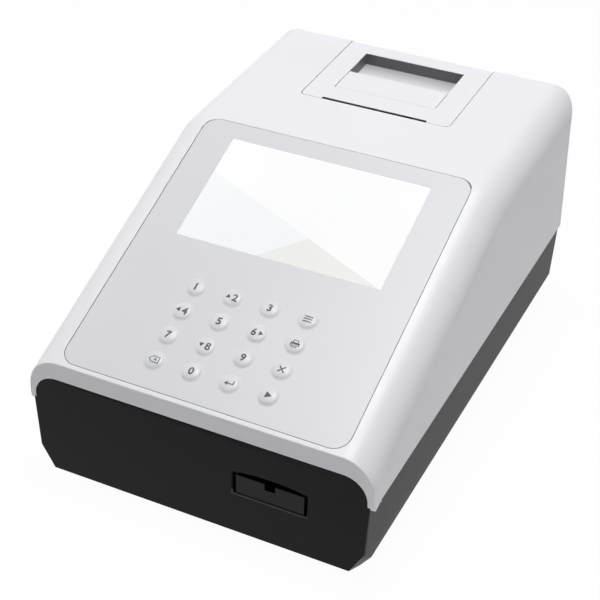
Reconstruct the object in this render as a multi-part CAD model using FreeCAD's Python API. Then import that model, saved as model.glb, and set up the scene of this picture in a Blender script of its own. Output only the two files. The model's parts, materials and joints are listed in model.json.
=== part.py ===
import FreeCAD, Part
import os
from math import acos, cos, pi, radians, sin, tan
from FreeCAD import Placement, Rotation, Vector

# Bench-top test strip analyzer: a white sloping cover over a black base, with a screen, sixteen keys,
# a motor-driven strip tray at the front and a paper printer under a lid at the top rear.
# Millimetres. X is to the right, Y to the rear and Z up. The origin is under the middle of the feet.

# Driving dimensions of the housing
coverWidth = 177.4
coverLength = 271.0
coverRound = 16.0        # long upper edges
coverWall = 2.5
frontHeight = 64.6       # top of the cover at the front, above the base's underside
slopeAngle = 22.6
slopeShare = 0.5889      # length of the slope as a share of the cover's
topTilt = 3.1
bendRound = 30.0         # soft bend between the slope and the top
rearLean = 10.0          # how far the cover's rear wall leans forward at its top
skirtFront = 37.8        # lower edge of the cover at the front, above the base's underside
skirtRise = 8.1          # how much higher that edge lies at the rear
sideStep = 3.2           # the cover stands proud of the base by these three
frontStep = 1.4
rearStep = 1.4
footHeight = 4.0
baseWall = 2.5
seamGap = 0.2            # between the cover and the base where they meet
overrun = 1.0            # how far a cut runs past the face that it opens

# Driving dimensions of the front panel. Places are shares of the slope, from the cover's front edge up.
panelMargin = 16.0       # from the cover's side to the overlay
overlayStart = 2.6
overlayThick = 0.8
overlayPast = 1.2        # how far the overlay's upper edge lies past the bend
screenMargin = 18.7      # from the overlay's side to the screen
screenHeightShare = 0.4023
screenPlaceShare = 0.7444
keyRadius = 4.7
keyPitchAcross = 19.5
rowPitchShare = 0.0902
topRowShare = 0.3791     # middle of the row nearest the screen
keyTravel = 0.4

# Driving dimensions of the strip drive
trayClear = 9.1          # from the cover's posts to the tray's guide
trayWidth = 34.2
trayHeight = 10.2
guideLength = 182.0
trayBottom = 24.0        # above the base's underside
rackModule = 1.0
pinionTeeth = 18

# Driving dimensions of the printer, measured along the top from the bend and down from its surface
lidWidth = 84.4
lidGap = 0.35
pocketWidth = 57.5
pocketDepth = 6.6
pocketRearInset = 12.2   # from the top's rear end to the finger pocket
rollRearInset = 31.8     # from the top's rear end to the paper's axis
paperWidth = 57.0
paperRadius = 22.0
platenRadius = 5.0
platenReach = 30.2       # from the paper's axis forward to the platen's
platenDepth = 9.5
gearModule = 0.6
platenTeeth = 20
idlerTeeth = 26
motorTeeth = 16
gearWidth = 3.8

# Places worked out from the driving dimensions
floorZ = footHeight + baseWall
baseWidth = coverWidth - 2 * sideStep
frontY = -coverLength / 2
rearY = coverLength / 2
slope = radians(slopeAngle)
tilt = radians(topTilt)
slopeLength = slopeShare * coverLength
slopeFoot = Vector(0, frontY, footHeight + frontHeight)
bend = slopeFoot + Vector(0, cos(slope), sin(slope)) * slopeLength
topEndY = rearY - rearLean
topLength = (topEndY - bend.y) / cos(tilt)
topEndZ = bend.z + topLength * sin(tilt)
skirtFrontZ = footHeight + skirtFront
skirtRearZ = skirtFrontZ + skirtRise
leanShare = rearLean / (topEndZ - skirtRearZ)
slopeFrame = Placement(slopeFoot, Rotation(Vector(1, 0, 0), slopeAngle))
topFrame = Placement(bend, Rotation(Vector(1, 0, 0), topTilt))


# Shared shapes

def box(low, high):
    size = high - low
    return Part.makeBox(size.x, size.y, size.z, low)


def rod(radius, start, end):
    return Part.makeCylinder(radius, (end - start).Length, start, end - start)


def bore(radius, start, end):
    reach = (end - start).normalize() * overrun
    return rod(radius, start - reach, end + reach)


def outline(corners, radii):
    # Closed wire through the corners, each rounded by its own radius
    arcs = []
    for index, corner in enumerate(corners):
        before = (corners[index - 1] - corner).normalize()
        after = (corners[(index + 1) % len(corners)] - corner).normalize()
        half = before.getAngle(after) / 2
        reach = radii[index] / tan(half)
        middle = (before + after).normalize() * (radii[index] / sin(half) - radii[index])
        arcs.append((corner + before * reach, corner + middle, corner + after * reach))
    edges = []
    for index, (start, middle, end) in enumerate(arcs):
        if radii[index] > 0:
            edges.append(Part.Arc(start, middle, end).toShape())
        following = arcs[(index + 1) % len(arcs)][0]
        if not end.isEqual(following, FreeCAD.Base.Precision.confusion()):
            edges.append(Part.LineSegment(end, following).toShape())
    return Part.Wire(edges)


def prism(corners, radii, direction):
    return Part.Face(outline(corners, radii)).extrude(direction)


def plate(middle, width, length, corner, low, high):
    # Flat plate with rounded corners about middle, from low to high
    across = Vector(width / 2, 0, 0)
    along = Vector(0, length / 2, 0)
    base = Vector(middle.x, middle.y, low)
    corners = [base - across - along, base + across - along, base + across + along, base - across + along]
    return prism(corners, [corner] * 4, Vector(0, 0, high - low))


def placed(shape, frame):
    moved = shape.copy()
    moved.Placement = frame.multiply(moved.Placement)
    return moved


def joined(shapes):
    return shapes[0].multiFuse(shapes[1:]).removeSplitter()


def without(shape, cutters):
    return shape.cut(Part.makeCompound(cutters))


def screw(head, direction, shankLength, shankRadius, headRadius, headHeight):
    # Pan screw whose head seats at head and whose shank runs along direction
    way = Vector(direction).normalize()
    return joined([rod(shankRadius, head, head + way * shankLength),
                   rod(headRadius, head - way * headHeight, head)])


def involute(radius, baseCircle):
    angle = acos(min(baseCircle / radius, 1))
    return tan(angle) - angle


pressureAngle = 20.0     # of all gears and the rack
rootShare = 1.25         # depth of a tooth under the pitch line as a share of its module


def toothedWheel(teeth, module, low, high, boreRadius, toothAngle, backlash):
    # Spur gear about Z with involute flanks, one tooth centred at toothAngle in degrees
    pitch = module * teeth / 2
    baseCircle = pitch * cos(radians(pressureAngle))
    tip = pitch + module
    root = pitch - rootShare * module
    halfTooth = pi / (2 * teeth) - backlash / (2 * pitch) + involute(pitch, baseCircle)
    first = max(root, baseCircle)
    flankShares = (0, 0.3, 0.65, 1)
    flank = [first + (tip - first) * share for share in flankShares]
    points = []
    for tooth in range(teeth):
        centre = radians(toothAngle) + 2 * pi * tooth / teeth
        half = halfTooth - involute(first, baseCircle)
        places = [(root, centre - half)] if root < first else []
        places += [(radius, centre - halfTooth + involute(radius, baseCircle)) for radius in flank]
        places += [(radius, centre + halfTooth - involute(radius, baseCircle)) for radius in reversed(flank)]
        places += [(root, centre + half)] if root < first else []
        points += [Vector(radius * cos(angle), radius * sin(angle), low) for radius, angle in places]
    solid = Part.Face(Part.makePolygon(points + points[:1])).extrude(Vector(0, 0, high - low))
    return solid.cut(bore(boreRadius, Vector(0, 0, low), Vector(0, 0, high)))


# Housing

lipDepth = 4.0           # thickness of the cover's front edge
lipEdge = 0.7            # rounding of that edge
lipHeight = 9.4
lipRound = 12.0          # upper corners of the base's front as framed by the lip
skirtRound = 5.0
rearCornerRound = 8.0
rearTopRound = 2.5
bossRadius = 4.0
bossBore = 1.3
postRadius = 4.5
postTop = 54.0
sidePostInset = 17.7     # from the cover's side, front and rear planes to the posts' axes
frontPostInset = 17.0
rearPostInset = 33.0
postPlaceX = coverWidth / 2 - sidePostInset


def roofZ(y, drop):
    # Height of the surface that lies drop below the slope and the top
    onSlope = slopeFoot.z + (y - frontY) * tan(slope) - drop / cos(slope)
    onTop = bend.z + (y - bend.y) * tan(tilt) - drop / cos(tilt)
    return min(onSlope, onTop)


def bendY(drop):
    # Y at which the two surfaces lying drop below the slope and the top meet
    return bend.y + drop * (1 / cos(slope) - 1 / cos(tilt)) / (tan(slope) - tan(tilt))


def coverForm(inset, startY, low):
    # Round-shouldered block under the roof line, drawn in by inset all round
    half = coverWidth / 2 - inset
    far = rearY + overrun
    places = [(startY, low), (startY, roofZ(startY, inset)), (bendY(inset), roofZ(bendY(inset), inset)),
              (far, roofZ(far, inset)), (far, low)]
    corners = [Vector(-half, y, z) for y, z in places]
    block = prism(corners, [0, 0, bendRound - inset, 0, 0], Vector(2 * half, 0, 0))
    shoulders = []
    for edge in block.Edges:
        ends = [vertex.Point for vertex in edge.Vertexes]
        level = all(end.z >= roofZ(startY, inset) - seamGap for end in ends)
        if level and abs(ends[0].y - ends[1].y) > seamGap:
            shoulders.append(edge)
    rounded = block.makeFillet(coverRound - inset, shoulders)
    return rounded.common(leaningBlock(inset, low))


def leaningBlock(inset, low):
    # Plan outline with rounded rear corners, drawn up along the rear wall's lean
    half = coverWidth / 2 - inset
    rear = rearY - inset + (skirtRearZ - low) * leanShare
    height = topEndZ + coverRound - low
    front = frontY - height * leanShare
    corners = [Vector(-half, front, low), Vector(half, front, low),
               Vector(half, rear, low), Vector(-half, rear, low)]
    corner = rearCornerRound - inset
    return prism(corners, [0, 0, corner, corner], Vector(0, -height * leanShare, height))


def baseFront(growth, startY, endY):
    # Front elevation of the base, with its rounded upper and bevelled lower corners
    half = baseWidth / 2 + growth
    low = footHeight - growth
    high = footHeight + frontHeight - lipHeight + growth
    corners = [Vector(-half, startY, high), Vector(-half, startY, low + bevelHeight),
               Vector(-half + bevelWidth, startY, low), Vector(half - bevelWidth, startY, low),
               Vector(half, startY, low + bevelHeight), Vector(half, startY, high)]
    radii = [lipRound + growth, bevelRound, bevelRound, bevelRound, bevelRound, lipRound + growth]
    return prism(corners, radii, Vector(0, endY - startY, 0))


def coverBoss(x, y, low):
    return rod(bossRadius, Vector(x, y, low), Vector(x, y, roofZ(y, 0)))


def postPlaces():
    return [(x, y) for x in (-postPlaceX, postPlaceX)
            for y in (frontY + frontPostInset, rearY - rearPostInset)]


def topCover():
    outer = coverForm(0, frontY, footHeight)
    rim = [edge for edge in outer.Edges if edge.CenterOfMass.z > footHeight + seamGap
           and all(abs(vertex.Y - frontY) < seamGap for vertex in edge.Vertexes)]
    outer = outer.makeFillet(lipEdge, rim)
    inner = coverForm(coverWall, frontY + lipDepth, footHeight - overrun)
    high = topEndZ + overrun
    # The side view trims the skirt's sloping lower edge and rounds its ends and the rear top edge
    places = [(frontY, skirtFrontZ), (frontY, roofZ(topEndY, 0) - (topEndY - frontY) * tan(tilt)),
              (topEndY, topEndZ), (rearY, skirtRearZ)]
    reach = coverWidth / 2 + overrun
    side = prism([Vector(-reach, y, z) for y, z in places], [skirtRound, 0, rearTopRound, skirtRound],
                 Vector(2 * reach, 0, 0))
    bosses = [coverBoss(x, y, postTop) for x, y in postPlaces()]
    bosses += [placed(shape, slopeFrame) for shape in keyboardPosts()]
    bosses += [placed(shape, topFrame) for shape in printerBosses() + hingeBosses()]
    shell = outer.common(side).cut(inner)
    shell = shell.cut(baseFront(seamGap, frontY - overrun, frontY + lipDepth + overrun))
    solid = joined([shell] + [boss.common(outer.common(side)) for boss in bosses])
    cutters = [bore(bossBore, Vector(x, y, postTop), Vector(x, y, postTop + caseScrewLength))
               for x, y in postPlaces()]
    cutters += [placed(shape, slopeFrame) for shape in panelCuts()]
    cutters += [placed(shape, topFrame) for shape in lidCuts()]
    return without(solid, cutters)


# Black base: bevelled lower sides, round lower rear edge, walls that stand up inside the cover

bevelWidth = 8.0
bevelHeight = 10.4
bevelRound = 2.5
frontToeRound = 1.5
heelRound = 21.0
baseFrontCorner = 1.6
baseRearCorner = 6.5
wallGap = 0.7            # between the base's upper walls and the cover's inside
footRadius = 7.0
footSideInset = 28.7     # from the cover's side, and from its front and rear planes
footInset = 26.0
footPegRadius = 2.4
footPegGap = 0.1
caseScrewLength = 14.0
caseScrewRadius = 1.25
caseHeadRadius = 2.9
caseHeadHeight = 2.0
postWeb = 5.0            # top of a post, between the screw's head and the cover's boss
ventWidth = 3.0
ventRound = 1.0
ventLength = 34.0
ventPitch = 7.5
ventCount = 9
ventPlaceX = -30.0
ventPlaceY = -42.0
footPlaceX = coverWidth / 2 - footSideInset


def baseForm(inset, low, high):
    # Base outline drawn in by inset, from low to high, with a step at the rear that goes up inside the cover
    half = baseWidth / 2 - inset
    front = frontY + frontStep + inset
    rear = rearY - rearStep - inset
    lapY = rearY - coverWall - wallGap - (high - skirtRearZ) * leanShare - inset
    lapZ = skirtRearZ - seamGap - inset
    reach = coverWidth / 2
    places = [(front, low), (front, high), (lapY, high), (lapY, lapZ), (rear, lapZ), (rear, low)]
    corners = [Vector(-reach, y, z) for y, z in places]
    side = prism(corners, [frontToeRound, 0, 0, 0, 0, heelRound - inset], Vector(2 * reach, 0, 0))
    plan = [Vector(-half, front, low), Vector(half, front, low),
            Vector(half, rear, low), Vector(-half, rear, low)]
    corner = baseRearCorner - inset
    block = prism(plan, [baseFrontCorner, baseFrontCorner, corner, corner], Vector(0, 0, high - low))
    return side.common(block)


def basePocket():
    top = footHeight + frontHeight
    half = baseWidth / 2 - baseWall
    corners = [Vector(-half, frontY, top), Vector(-half, frontY, floorZ + bevelHeight),
               Vector(-half + bevelWidth, frontY, floorZ), Vector(half - bevelWidth, frontY, floorZ),
               Vector(half, frontY, floorZ + bevelHeight), Vector(half, frontY, top)]
    inside = prism(corners, [0, bevelRound, bevelRound, bevelRound, bevelRound, 0], Vector(0, coverLength, 0))
    return inside.common(baseForm(baseWall, floorZ, top))


def bottomCase():
    top = footHeight + frontHeight - lipHeight
    outer = baseForm(0, footHeight, top).common(baseFront(0, frontY, rearY))
    shell = outer.cut(basePocket())
    posts = [rod(postRadius, Vector(x, y, footHeight), Vector(x, y, postTop)) for x, y in postPlaces()]
    posts += [rod(boardPostRadius, Vector(x, y, footHeight), Vector(x, y, boardZ)) for x, y in boardPlaces()]
    solid = joined([shell] + [post.common(outer) for post in posts])
    cutters = []
    for x, y in postPlaces():
        cutters.append(rod(caseHeadRadius + seamGap, Vector(x, y, footHeight - overrun),
                           Vector(x, y, postTop - postWeb)))
        cutters.append(bore(caseScrewRadius + footPegGap, Vector(x, y, footHeight), Vector(x, y, postTop)))
    for x, y in footPlaces():
        cutters.append(bore(footPegRadius + footPegGap, Vector(x, y, footHeight), Vector(x, y, floorZ)))
    for x, y in boardPlaces():
        cutters.append(rod(boardScrewRadius, Vector(x, y, floorZ), Vector(x, y, boardZ + overrun)))
    cutters += trayOpening() + portCuts() + ventCuts()
    return without(solid, cutters)


def ventCuts():
    cutters = []
    for index in range(ventCount):
        x = ventPlaceX + (index - (ventCount - 1) / 2) * ventPitch
        cutters.append(plate(Vector(x, ventPlaceY, 0), ventWidth, ventLength, ventRound,
                             footHeight - overrun, floorZ + overrun))
    return cutters


def footPlaces():
    return [(x, y) for x in (-footPlaceX, footPlaceX) for y in (frontY + footInset, rearY - footInset)]


def rubberFeet():
    feet = []
    for x, y in footPlaces():
        pad = rod(footRadius, Vector(x, y, 0), Vector(x, y, footHeight))
        pad = pad.makeChamfer(footHeight / 4, [pad.Edges[2]])
        feet.append(joined([pad, rod(footPegRadius, Vector(x, y, footHeight), Vector(x, y, floorZ))]))
    return Part.makeCompound(feet)


def caseScrews():
    seat = postTop - postWeb
    return Part.makeCompound([screw(Vector(x, y, seat), Vector(0, 0, 1), caseScrewLength, caseScrewRadius,
                                    caseHeadRadius, caseHeadHeight) for x, y in postPlaces()])


# Front panel, in the slope's frame: X across, Y up the slope, Z out of the surface

overlayRound = 8.0
overlayGap = 0.3
overlaySink = 0.05
windowGap = 0.1
keyGap = 0.25
keyRise = 0.45           # straight side of a key above the panel, and the dome on it
keyDome = 0.85
keyEdge = 0.3
keyFlange = 0.9          # how far the flange that holds a key in reaches past its body
keyFlangeThick = 0.8
keyFlangeGap = 0.1
keyStemRadius = 1.6
keyStemLength = 0.8
keySpare = 0.1
domeRadius = 2.6
domeHeight = 0.5
keyboardSideMargin = 14.75
keyboardFrontMargin = 11.3
keyboardRearMargin = 10.5
keyboardThick = 1.6
keyboardPostRadius = 2.6
keyboardPostInset = 3.6
displaySideMargin = 6.0
displayFrontMargin = 3.4
displayRearInset = 5.3   # from the bend
displayThick = 5.0
displayFrame = 1.2       # front bezel of the display module that lies against the cover
keyRows = 4
keyColumns = 4
overlayWidth = coverWidth - 2 * panelMargin
overlayEnd = slopeLength + overlayPast
screenWidth = overlayWidth - 2 * screenMargin
screenHeight = screenHeightShare * slopeLength
screenMiddle = screenPlaceShare * slopeLength
keyPitchAlong = rowPitchShare * slopeLength
topKeyRow = topRowShare * slopeLength
keyboardWidth = (keyColumns - 1) * keyPitchAcross + 2 * keyboardSideMargin
keyboardStart = topKeyRow - (keyRows - 1) * keyPitchAlong - keyboardFrontMargin
keyboardEnd = topKeyRow + keyboardRearMargin
displayWidth = screenWidth + 2 * displaySideMargin
displayStart = screenMiddle - screenHeight / 2 - displayFrontMargin
displayLength = slopeLength - displayRearInset - displayStart
recessDepth = overlayThick + overlaySink
keyFlangeTop = -coverWall - keyFlangeGap
stemEnd = keyFlangeTop - keyFlangeThick - keyStemLength
keyboardTop = stemEnd - keyTravel - keySpare - domeHeight
overlayMiddle = Vector(0, (overlayStart + overlayEnd) / 2, 0)
overlayLength = overlayEnd - overlayStart
screenPlace = Vector(0, screenMiddle, 0)
displayPlace = Vector(0, displayStart + displayLength / 2, 0)


def keyPlaces():
    places = {}
    names = ("key_1", "key_2", "key_3", "key_menu", "key_4", "key_5", "key_6", "key_print",
             "key_7", "key_8", "key_9", "key_cancel", "key_clear", "key_0", "key_enter", "key_start")
    for index, name in enumerate(names):
        row, column = divmod(index, keyColumns)
        x = (column - (keyColumns - 1) / 2) * keyPitchAcross
        places[name] = Vector(x, topKeyRow - row * keyPitchAlong, 0)
    return places


def up(place, height):
    return Vector(place.x, place.y, height)


def panelCuts():
    cutters = [plate(overlayMiddle, overlayWidth + 2 * overlayGap, overlayLength + 2 * overlayGap,
                     overlayRound + overlayGap, -recessDepth, overrun)]
    cutters.append(plate(screenPlace, screenWidth, screenHeight, windowGap, -coverWall - overrun, overrun))
    cutters += [rod(keyRadius + keyGap, up(place, -coverWall - overrun), up(place, overrun))
                for place in keyPlaces().values()]
    cutters += [rod(boardScrewRadius, up(place, keyboardTop - overrun), up(place, -coverWall))
                for place in keyboardPlaces()]
    return cutters


def panelOverlay():
    sheet = plate(overlayMiddle, overlayWidth, overlayLength, overlayRound, -recessDepth, -overlaySink)
    holes = [rod(keyRadius + keyGap, up(place, -recessDepth - overrun), up(place, overrun))
             for place in keyPlaces().values()]
    holes.append(plate(screenPlace, screenWidth, screenHeight, windowGap, -recessDepth - overrun, overrun))
    return placed(without(sheet, holes), slopeFrame)


def displayWindow():
    return placed(plate(screenPlace, screenWidth - 2 * windowGap, screenHeight - 2 * windowGap, windowGap,
                        -coverWall, -overlaySink), slopeFrame)


def displayModule():
    back = -coverWall - displayThick
    body = plate(displayPlace, displayWidth, displayLength, displayFrame, back, -coverWall)
    circuit = plate(displayPlace, displayWidth - 2 * displayFrame, displayLength - 2 * displayFrame,
                    displayFrame, back - keyboardThick, back)
    return placed(joined([body, circuit]), slopeFrame)


def keyboardPlaces():
    reach = keyboardWidth / 2 - keyboardPostInset
    return [Vector(x, y, 0) for x in (-reach, reach)
            for y in (keyboardStart + keyboardPostInset, keyboardEnd - keyboardPostInset)]


def keyboardPosts():
    return [rod(keyboardPostRadius, up(place, keyboardTop), up(place, 0)) for place in keyboardPlaces()]


def keyboardBoard():
    middle = Vector(0, (keyboardStart + keyboardEnd) / 2, 0)
    board = plate(middle, keyboardWidth, keyboardEnd - keyboardStart, keyboardPostInset / 2,
                  keyboardTop - keyboardThick, keyboardTop)
    holes = [bore(boardScrewRadius, up(place, keyboardTop - keyboardThick), up(place, keyboardTop))
             for place in keyboardPlaces()]
    return placed(without(board, holes), slopeFrame)


def capOf(radius, height):
    # Spherical dome of the given radius at its rim, standing on Z zero
    ball = (radius ** 2 + height ** 2) / (2 * height)
    sphere = Part.makeSphere(ball, Vector(0, 0, height - ball))
    return sphere.common(rod(radius, Vector(0, 0, 0), Vector(0, 0, 2 * height)))


def domeSwitches():
    dome = capOf(domeRadius, domeHeight)
    return Part.makeCompound([placed(dome, slopeFrame.multiply(Placement(up(place, keyboardTop), Rotation())))
                              for place in keyPlaces().values()])


def keyCap(place):
    rim = Vector(0, 0, keyRise)
    dome = placed(capOf(keyRadius, keyDome), Placement(rim, Rotation()))
    head = joined([dome, rod(keyRadius, Vector(0, 0, 0), rim)])
    edges = [edge for edge in head.Edges if edge.Vertexes and edge.Vertexes[0].Point.isEqual(
        Vector(keyRadius, 0, keyRise), seamGap) and abs(edge.CenterOfMass.z - keyRise) < seamGap]
    head = head.makeFillet(keyEdge, edges)
    body = rod(keyRadius, Vector(0, 0, keyFlangeTop), Vector(0, 0, 0))
    flange = rod(keyRadius + keyFlange, Vector(0, 0, keyFlangeTop - keyFlangeThick),
                 Vector(0, 0, keyFlangeTop))
    stem = rod(keyStemRadius, Vector(0, 0, stemEnd), Vector(0, 0, keyFlangeTop - keyFlangeThick))
    return placed(joined([head, body, flange, stem]), slopeFrame.multiply(Placement(place, Rotation())))


# Strip tray, its guide, rack, pinion and motor

openingWidth = 37.6
openingHeight = 12.2
openingDrop = 0.9        # opening's lower edge below the tray
openingArch = 1.5        # rise of the opening's upper edge at its middle
openingBevel = 0.6
trayInset = 0.8          # tray's front behind the base's front
trayFlange = 3.0         # full-width lower part that the guide holds
trayBlock = 8.0          # full-height front block
channelWidth = 5.3
channelDepth = 3.5
insertWidth = 22.0
insertThick = 4.6
insertEndInset = 14.0
insertGap = 0.1
padWidth = 8.0
padLength = 9.0
padThick = 2.0
guideGap = 0.3
guideWall = 2.0
guideStart = 0.1         # behind the base's front wall
trayRearClear = 12.0     # from the tray to the home sensor
guideHeight = 15.0
guideFloorThick = 2.0
runnerWidth = 4.0
runnerGap = 0.15
legRadius = 3.5
legInset = 8.0
rackWidth = 5.0
rackLift = 0.4           # rack and pinion above the tray's flange
rackGap = 0.15
pinionPlace = 30.0       # behind the cover's front plane
pinionBore = 1.05
pinionHub = 3.4
motorRadius = 12.0
motorHeight = 12.5
motorFlange = 1.0
motorEar = 17.5
motorShaft = 1.0
motorBossRadius = 4.0
shelfThick = 2.0
guideHalf = trayWidth / 2 + guideGap
trayMiddle = postPlaceX - postRadius - trayClear - guideWall - guideHalf
sensorReach = 18.0       # from the guide's end wall to the front of the home sensor
trayLength = guideLength - guideWall - sensorReach - trayRearClear
pinionPitch = rackModule * pinionTeeth / 2
trayZ = footHeight + trayBottom
trayTop = trayZ + trayHeight
trayFront = frontY + frontStep + trayInset
rackPitchX = trayMiddle - trayWidth / 2 + rackModule + guideGap
pinionX = rackPitchX - pinionPitch
pinionY = frontY + pinionPlace
rackLow = trayZ + trayFlange + rackLift
rackRootX = rackPitchX + rootShare * rackModule
guideFront = frontY + frontStep + baseWall + guideStart
guideTop = trayZ - guideFloorThick + guideHeight
runnerTop = trayZ - runnerGap
guideFloorTop = runnerTop - guideWall
shelfLow = guideFloorTop - guideFloorThick


def openingOutline(growth, y):
    # Opening in the base's front, with its slightly arched upper edge
    left = trayMiddle - openingWidth / 2 - growth
    right = trayMiddle + openingWidth / 2 + growth
    low = trayZ - openingDrop - growth
    high = trayZ - openingDrop + openingHeight + growth
    lowLeft = Vector(left, y, low)
    lowRight = Vector(right, y, low)
    highRight = Vector(right, y, high)
    highLeft = Vector(left, y, high)
    crown = Vector(trayMiddle, y, high + openingArch)
    sides = [Part.LineSegment(lowLeft, lowRight), Part.LineSegment(lowRight, highRight),
             Part.Arc(highRight, crown, highLeft), Part.LineSegment(highLeft, lowLeft)]
    return Part.Wire([side.toShape() for side in sides])


def trayOpening():
    face = frontY + frontStep
    through = Part.Face(openingOutline(0, face - overrun)).extrude(Vector(0, baseWall + 2 * overrun, 0))
    bevel = Part.makeLoft([openingOutline(openingBevel, face), openingOutline(0, face + openingBevel)],
                          True, True)
    return [through, bevel]


def stripTray():
    left = trayMiddle - trayWidth / 2
    right = trayMiddle + trayWidth / 2
    end = trayFront + trayLength
    flange = box(Vector(left, trayFront, trayZ), Vector(right, end, trayZ + trayFlange))
    block = box(Vector(left, trayFront, trayZ), Vector(right, trayFront + trayBlock, trayTop))
    body = box(Vector(rackRootX, trayFront, trayZ), Vector(right, end, trayTop))
    solid = joined([flange, block, body] + rackTeeth(end))
    channel = box(Vector(trayMiddle - channelWidth / 2, trayFront - overrun, trayTop - channelDepth),
                  Vector(trayMiddle + channelWidth / 2, trayFront + trayBlock + overrun, trayTop + overrun))
    bedHalf = insertWidth / 2 + insertGap
    bed = box(Vector(trayMiddle - bedHalf, trayFront + trayBlock, trayTop - insertThick),
              Vector(trayMiddle + bedHalf, end - insertEndInset, trayTop + overrun))
    margin = (insertEndInset - padLength) / 2
    padBed = box(Vector(trayMiddle - padWidth / 2, end - insertEndInset + margin, trayTop - padThick),
                 Vector(trayMiddle + padWidth / 2, end - margin, trayTop + overrun))
    return without(solid, [channel, bed, padBed])


def rackTeeth(end):
    # Straight-flanked teeth, one centred beside the pinion
    pitch = pi * rackModule
    lean = tan(radians(pressureAngle)) * rackModule
    half = pitch / 4 - rackGap / 2
    teeth = []
    first = int((trayFront + trayBlock + pitch - pinionY) / pitch)
    last = int((end - pitch - pinionY) / pitch)
    high = rackLow + rackWidth
    for index in range(first, last + 1):
        y = pinionY + index * pitch
        tip = rackPitchX - rackModule
        rootHalf = half + rootShare * lean
        corners = [Vector(rackRootX, y - rootHalf, rackLow), Vector(tip, y - half + lean, rackLow),
                   Vector(tip, y + half - lean, rackLow), Vector(rackRootX, y + rootHalf, rackLow)]
        teeth.append(Part.Face(Part.makePolygon(corners + corners[:1])).extrude(Vector(0, 0, high - rackLow)))
    return teeth


def trayInsert():
    low = trayTop - insertThick
    end = trayFront + trayLength - insertEndInset
    solid = box(Vector(trayMiddle - insertWidth / 2, trayFront + trayBlock + insertGap, low),
                Vector(trayMiddle + insertWidth / 2, end - insertGap, trayTop))
    channel = box(Vector(trayMiddle - channelWidth / 2, trayFront, trayTop - channelDepth),
                  Vector(trayMiddle + channelWidth / 2, end - channelWidth, trayTop + overrun))
    drainHalf = insertWidth / 2 - channelDepth
    drain = box(Vector(trayMiddle - drainHalf, end - 2 * channelWidth, trayTop - channelDepth),
                Vector(trayMiddle + drainHalf, end - channelWidth, trayTop + overrun))
    return without(solid, [channel, drain])


def calibrationPad():
    end = trayFront + trayLength
    margin = (insertEndInset - padLength) / 2
    return box(Vector(trayMiddle - padWidth / 2, end - insertEndInset + margin, trayTop - padThick),
               Vector(trayMiddle + padWidth / 2, end - margin, trayTop))


def trayGuide():
    outer = guideHalf + guideWall
    end = guideFront + guideLength
    left = trayMiddle - outer
    right = trayMiddle + outer
    block = box(Vector(left, guideFront, guideFloorTop - guideFloorThick), Vector(right, end, guideTop))
    hollow = box(Vector(trayMiddle - guideHalf, guideFront - overrun, guideFloorTop),
                 Vector(trayMiddle + guideHalf, end - guideWall, guideTop + overrun))
    pieces = [block.cut(hollow)]
    for side in (-1, 1):
        x = trayMiddle + side * (guideHalf - runnerWidth)
        pieces.append(box(Vector(x - runnerWidth / 2, guideFront, guideFloorTop),
                          Vector(x + runnerWidth / 2, end - guideWall, runnerTop)))
    for x in (left + legRadius, right - legRadius):
        for y in (guideFront + legInset + legRadius, end - legInset):
            pieces.append(rod(legRadius, Vector(x, y, floorZ), Vector(x, y, guideFloorTop)))
    shelfReach = motorEar + legRadius
    pieces.append(box(Vector(pinionX - motorRadius, pinionY - shelfReach, shelfLow),
                      Vector(left + guideWall, pinionY + shelfReach, shelfLow + shelfThick)))
    solid = joined(pieces)
    clear = pinionPitch + rackModule + guideGap
    window = rod(clear, Vector(pinionX, pinionY, rackLow - rackLift),
                 Vector(pinionX, pinionY, guideTop + overrun))
    hole = bore(motorBossRadius + guideGap, Vector(pinionX, pinionY, shelfLow),
                Vector(pinionX, pinionY, shelfLow + shelfThick))
    return without(solid, [window, hole])


def trayMotor():
    top = shelfLow
    centre = Vector(pinionX, pinionY, 0)
    can = rod(motorRadius, up(centre, top - motorFlange - motorHeight), up(centre, top - motorFlange))
    ears = plate(centre, 2 * legRadius, 2 * (motorEar + legRadius), legRadius, top - motorFlange, top)
    flange = rod(motorRadius, up(centre, top - motorFlange), up(centre, top))
    boss = rod(motorBossRadius, up(centre, top), up(centre, top + shelfThick))
    shaft = rod(motorShaft, up(centre, top + shelfThick), up(centre, rackLow + rackWidth + guideWall))
    return joined([can, ears, flange, boss, shaft])


def trayPinion():
    # A gap faces the rack tooth that is centred beside the pinion
    wheel = toothedWheel(pinionTeeth, rackModule, rackLow, rackLow + rackWidth, pinionBore,
                         180 / pinionTeeth, rackGap)
    hub = rod(pinionHub, Vector(0, 0, rackLow + rackWidth), Vector(0, 0, rackLow + rackWidth + guideWall))
    hub = hub.cut(bore(pinionBore, Vector(0, 0, rackLow), Vector(0, 0, rackLow + rackWidth + guideWall)))
    wheel = wheel.fuse(hub)
    return placed(wheel, Placement(Vector(pinionX, pinionY, 0), Rotation()))


# Reader over the tray: housing with its light path, light board, lens and home sensor

readerPlace = 66.0       # front of the reader behind the cover's front plane
readerLength = 34.0
readerHeight = 18.0
readerWall = 2.5
apertureLength = 12.0
apertureWidth = 9.0
lensRadius = 3.5
lensThick = 2.2
ledBoardThick = 1.6
ledRadius = 1.5
ledHeight = 1.8
sensorWidth = 6.0
sensorHeight = 11.0
sensorLength = 12.0
sensorSlot = 2.4


def readerBox(inset, low, high):
    half = guideHalf + guideWall - inset
    start = frontY + readerPlace
    return box(Vector(trayMiddle - half, start + inset, low),
               Vector(trayMiddle + half, start + readerLength - inset, high))


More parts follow.
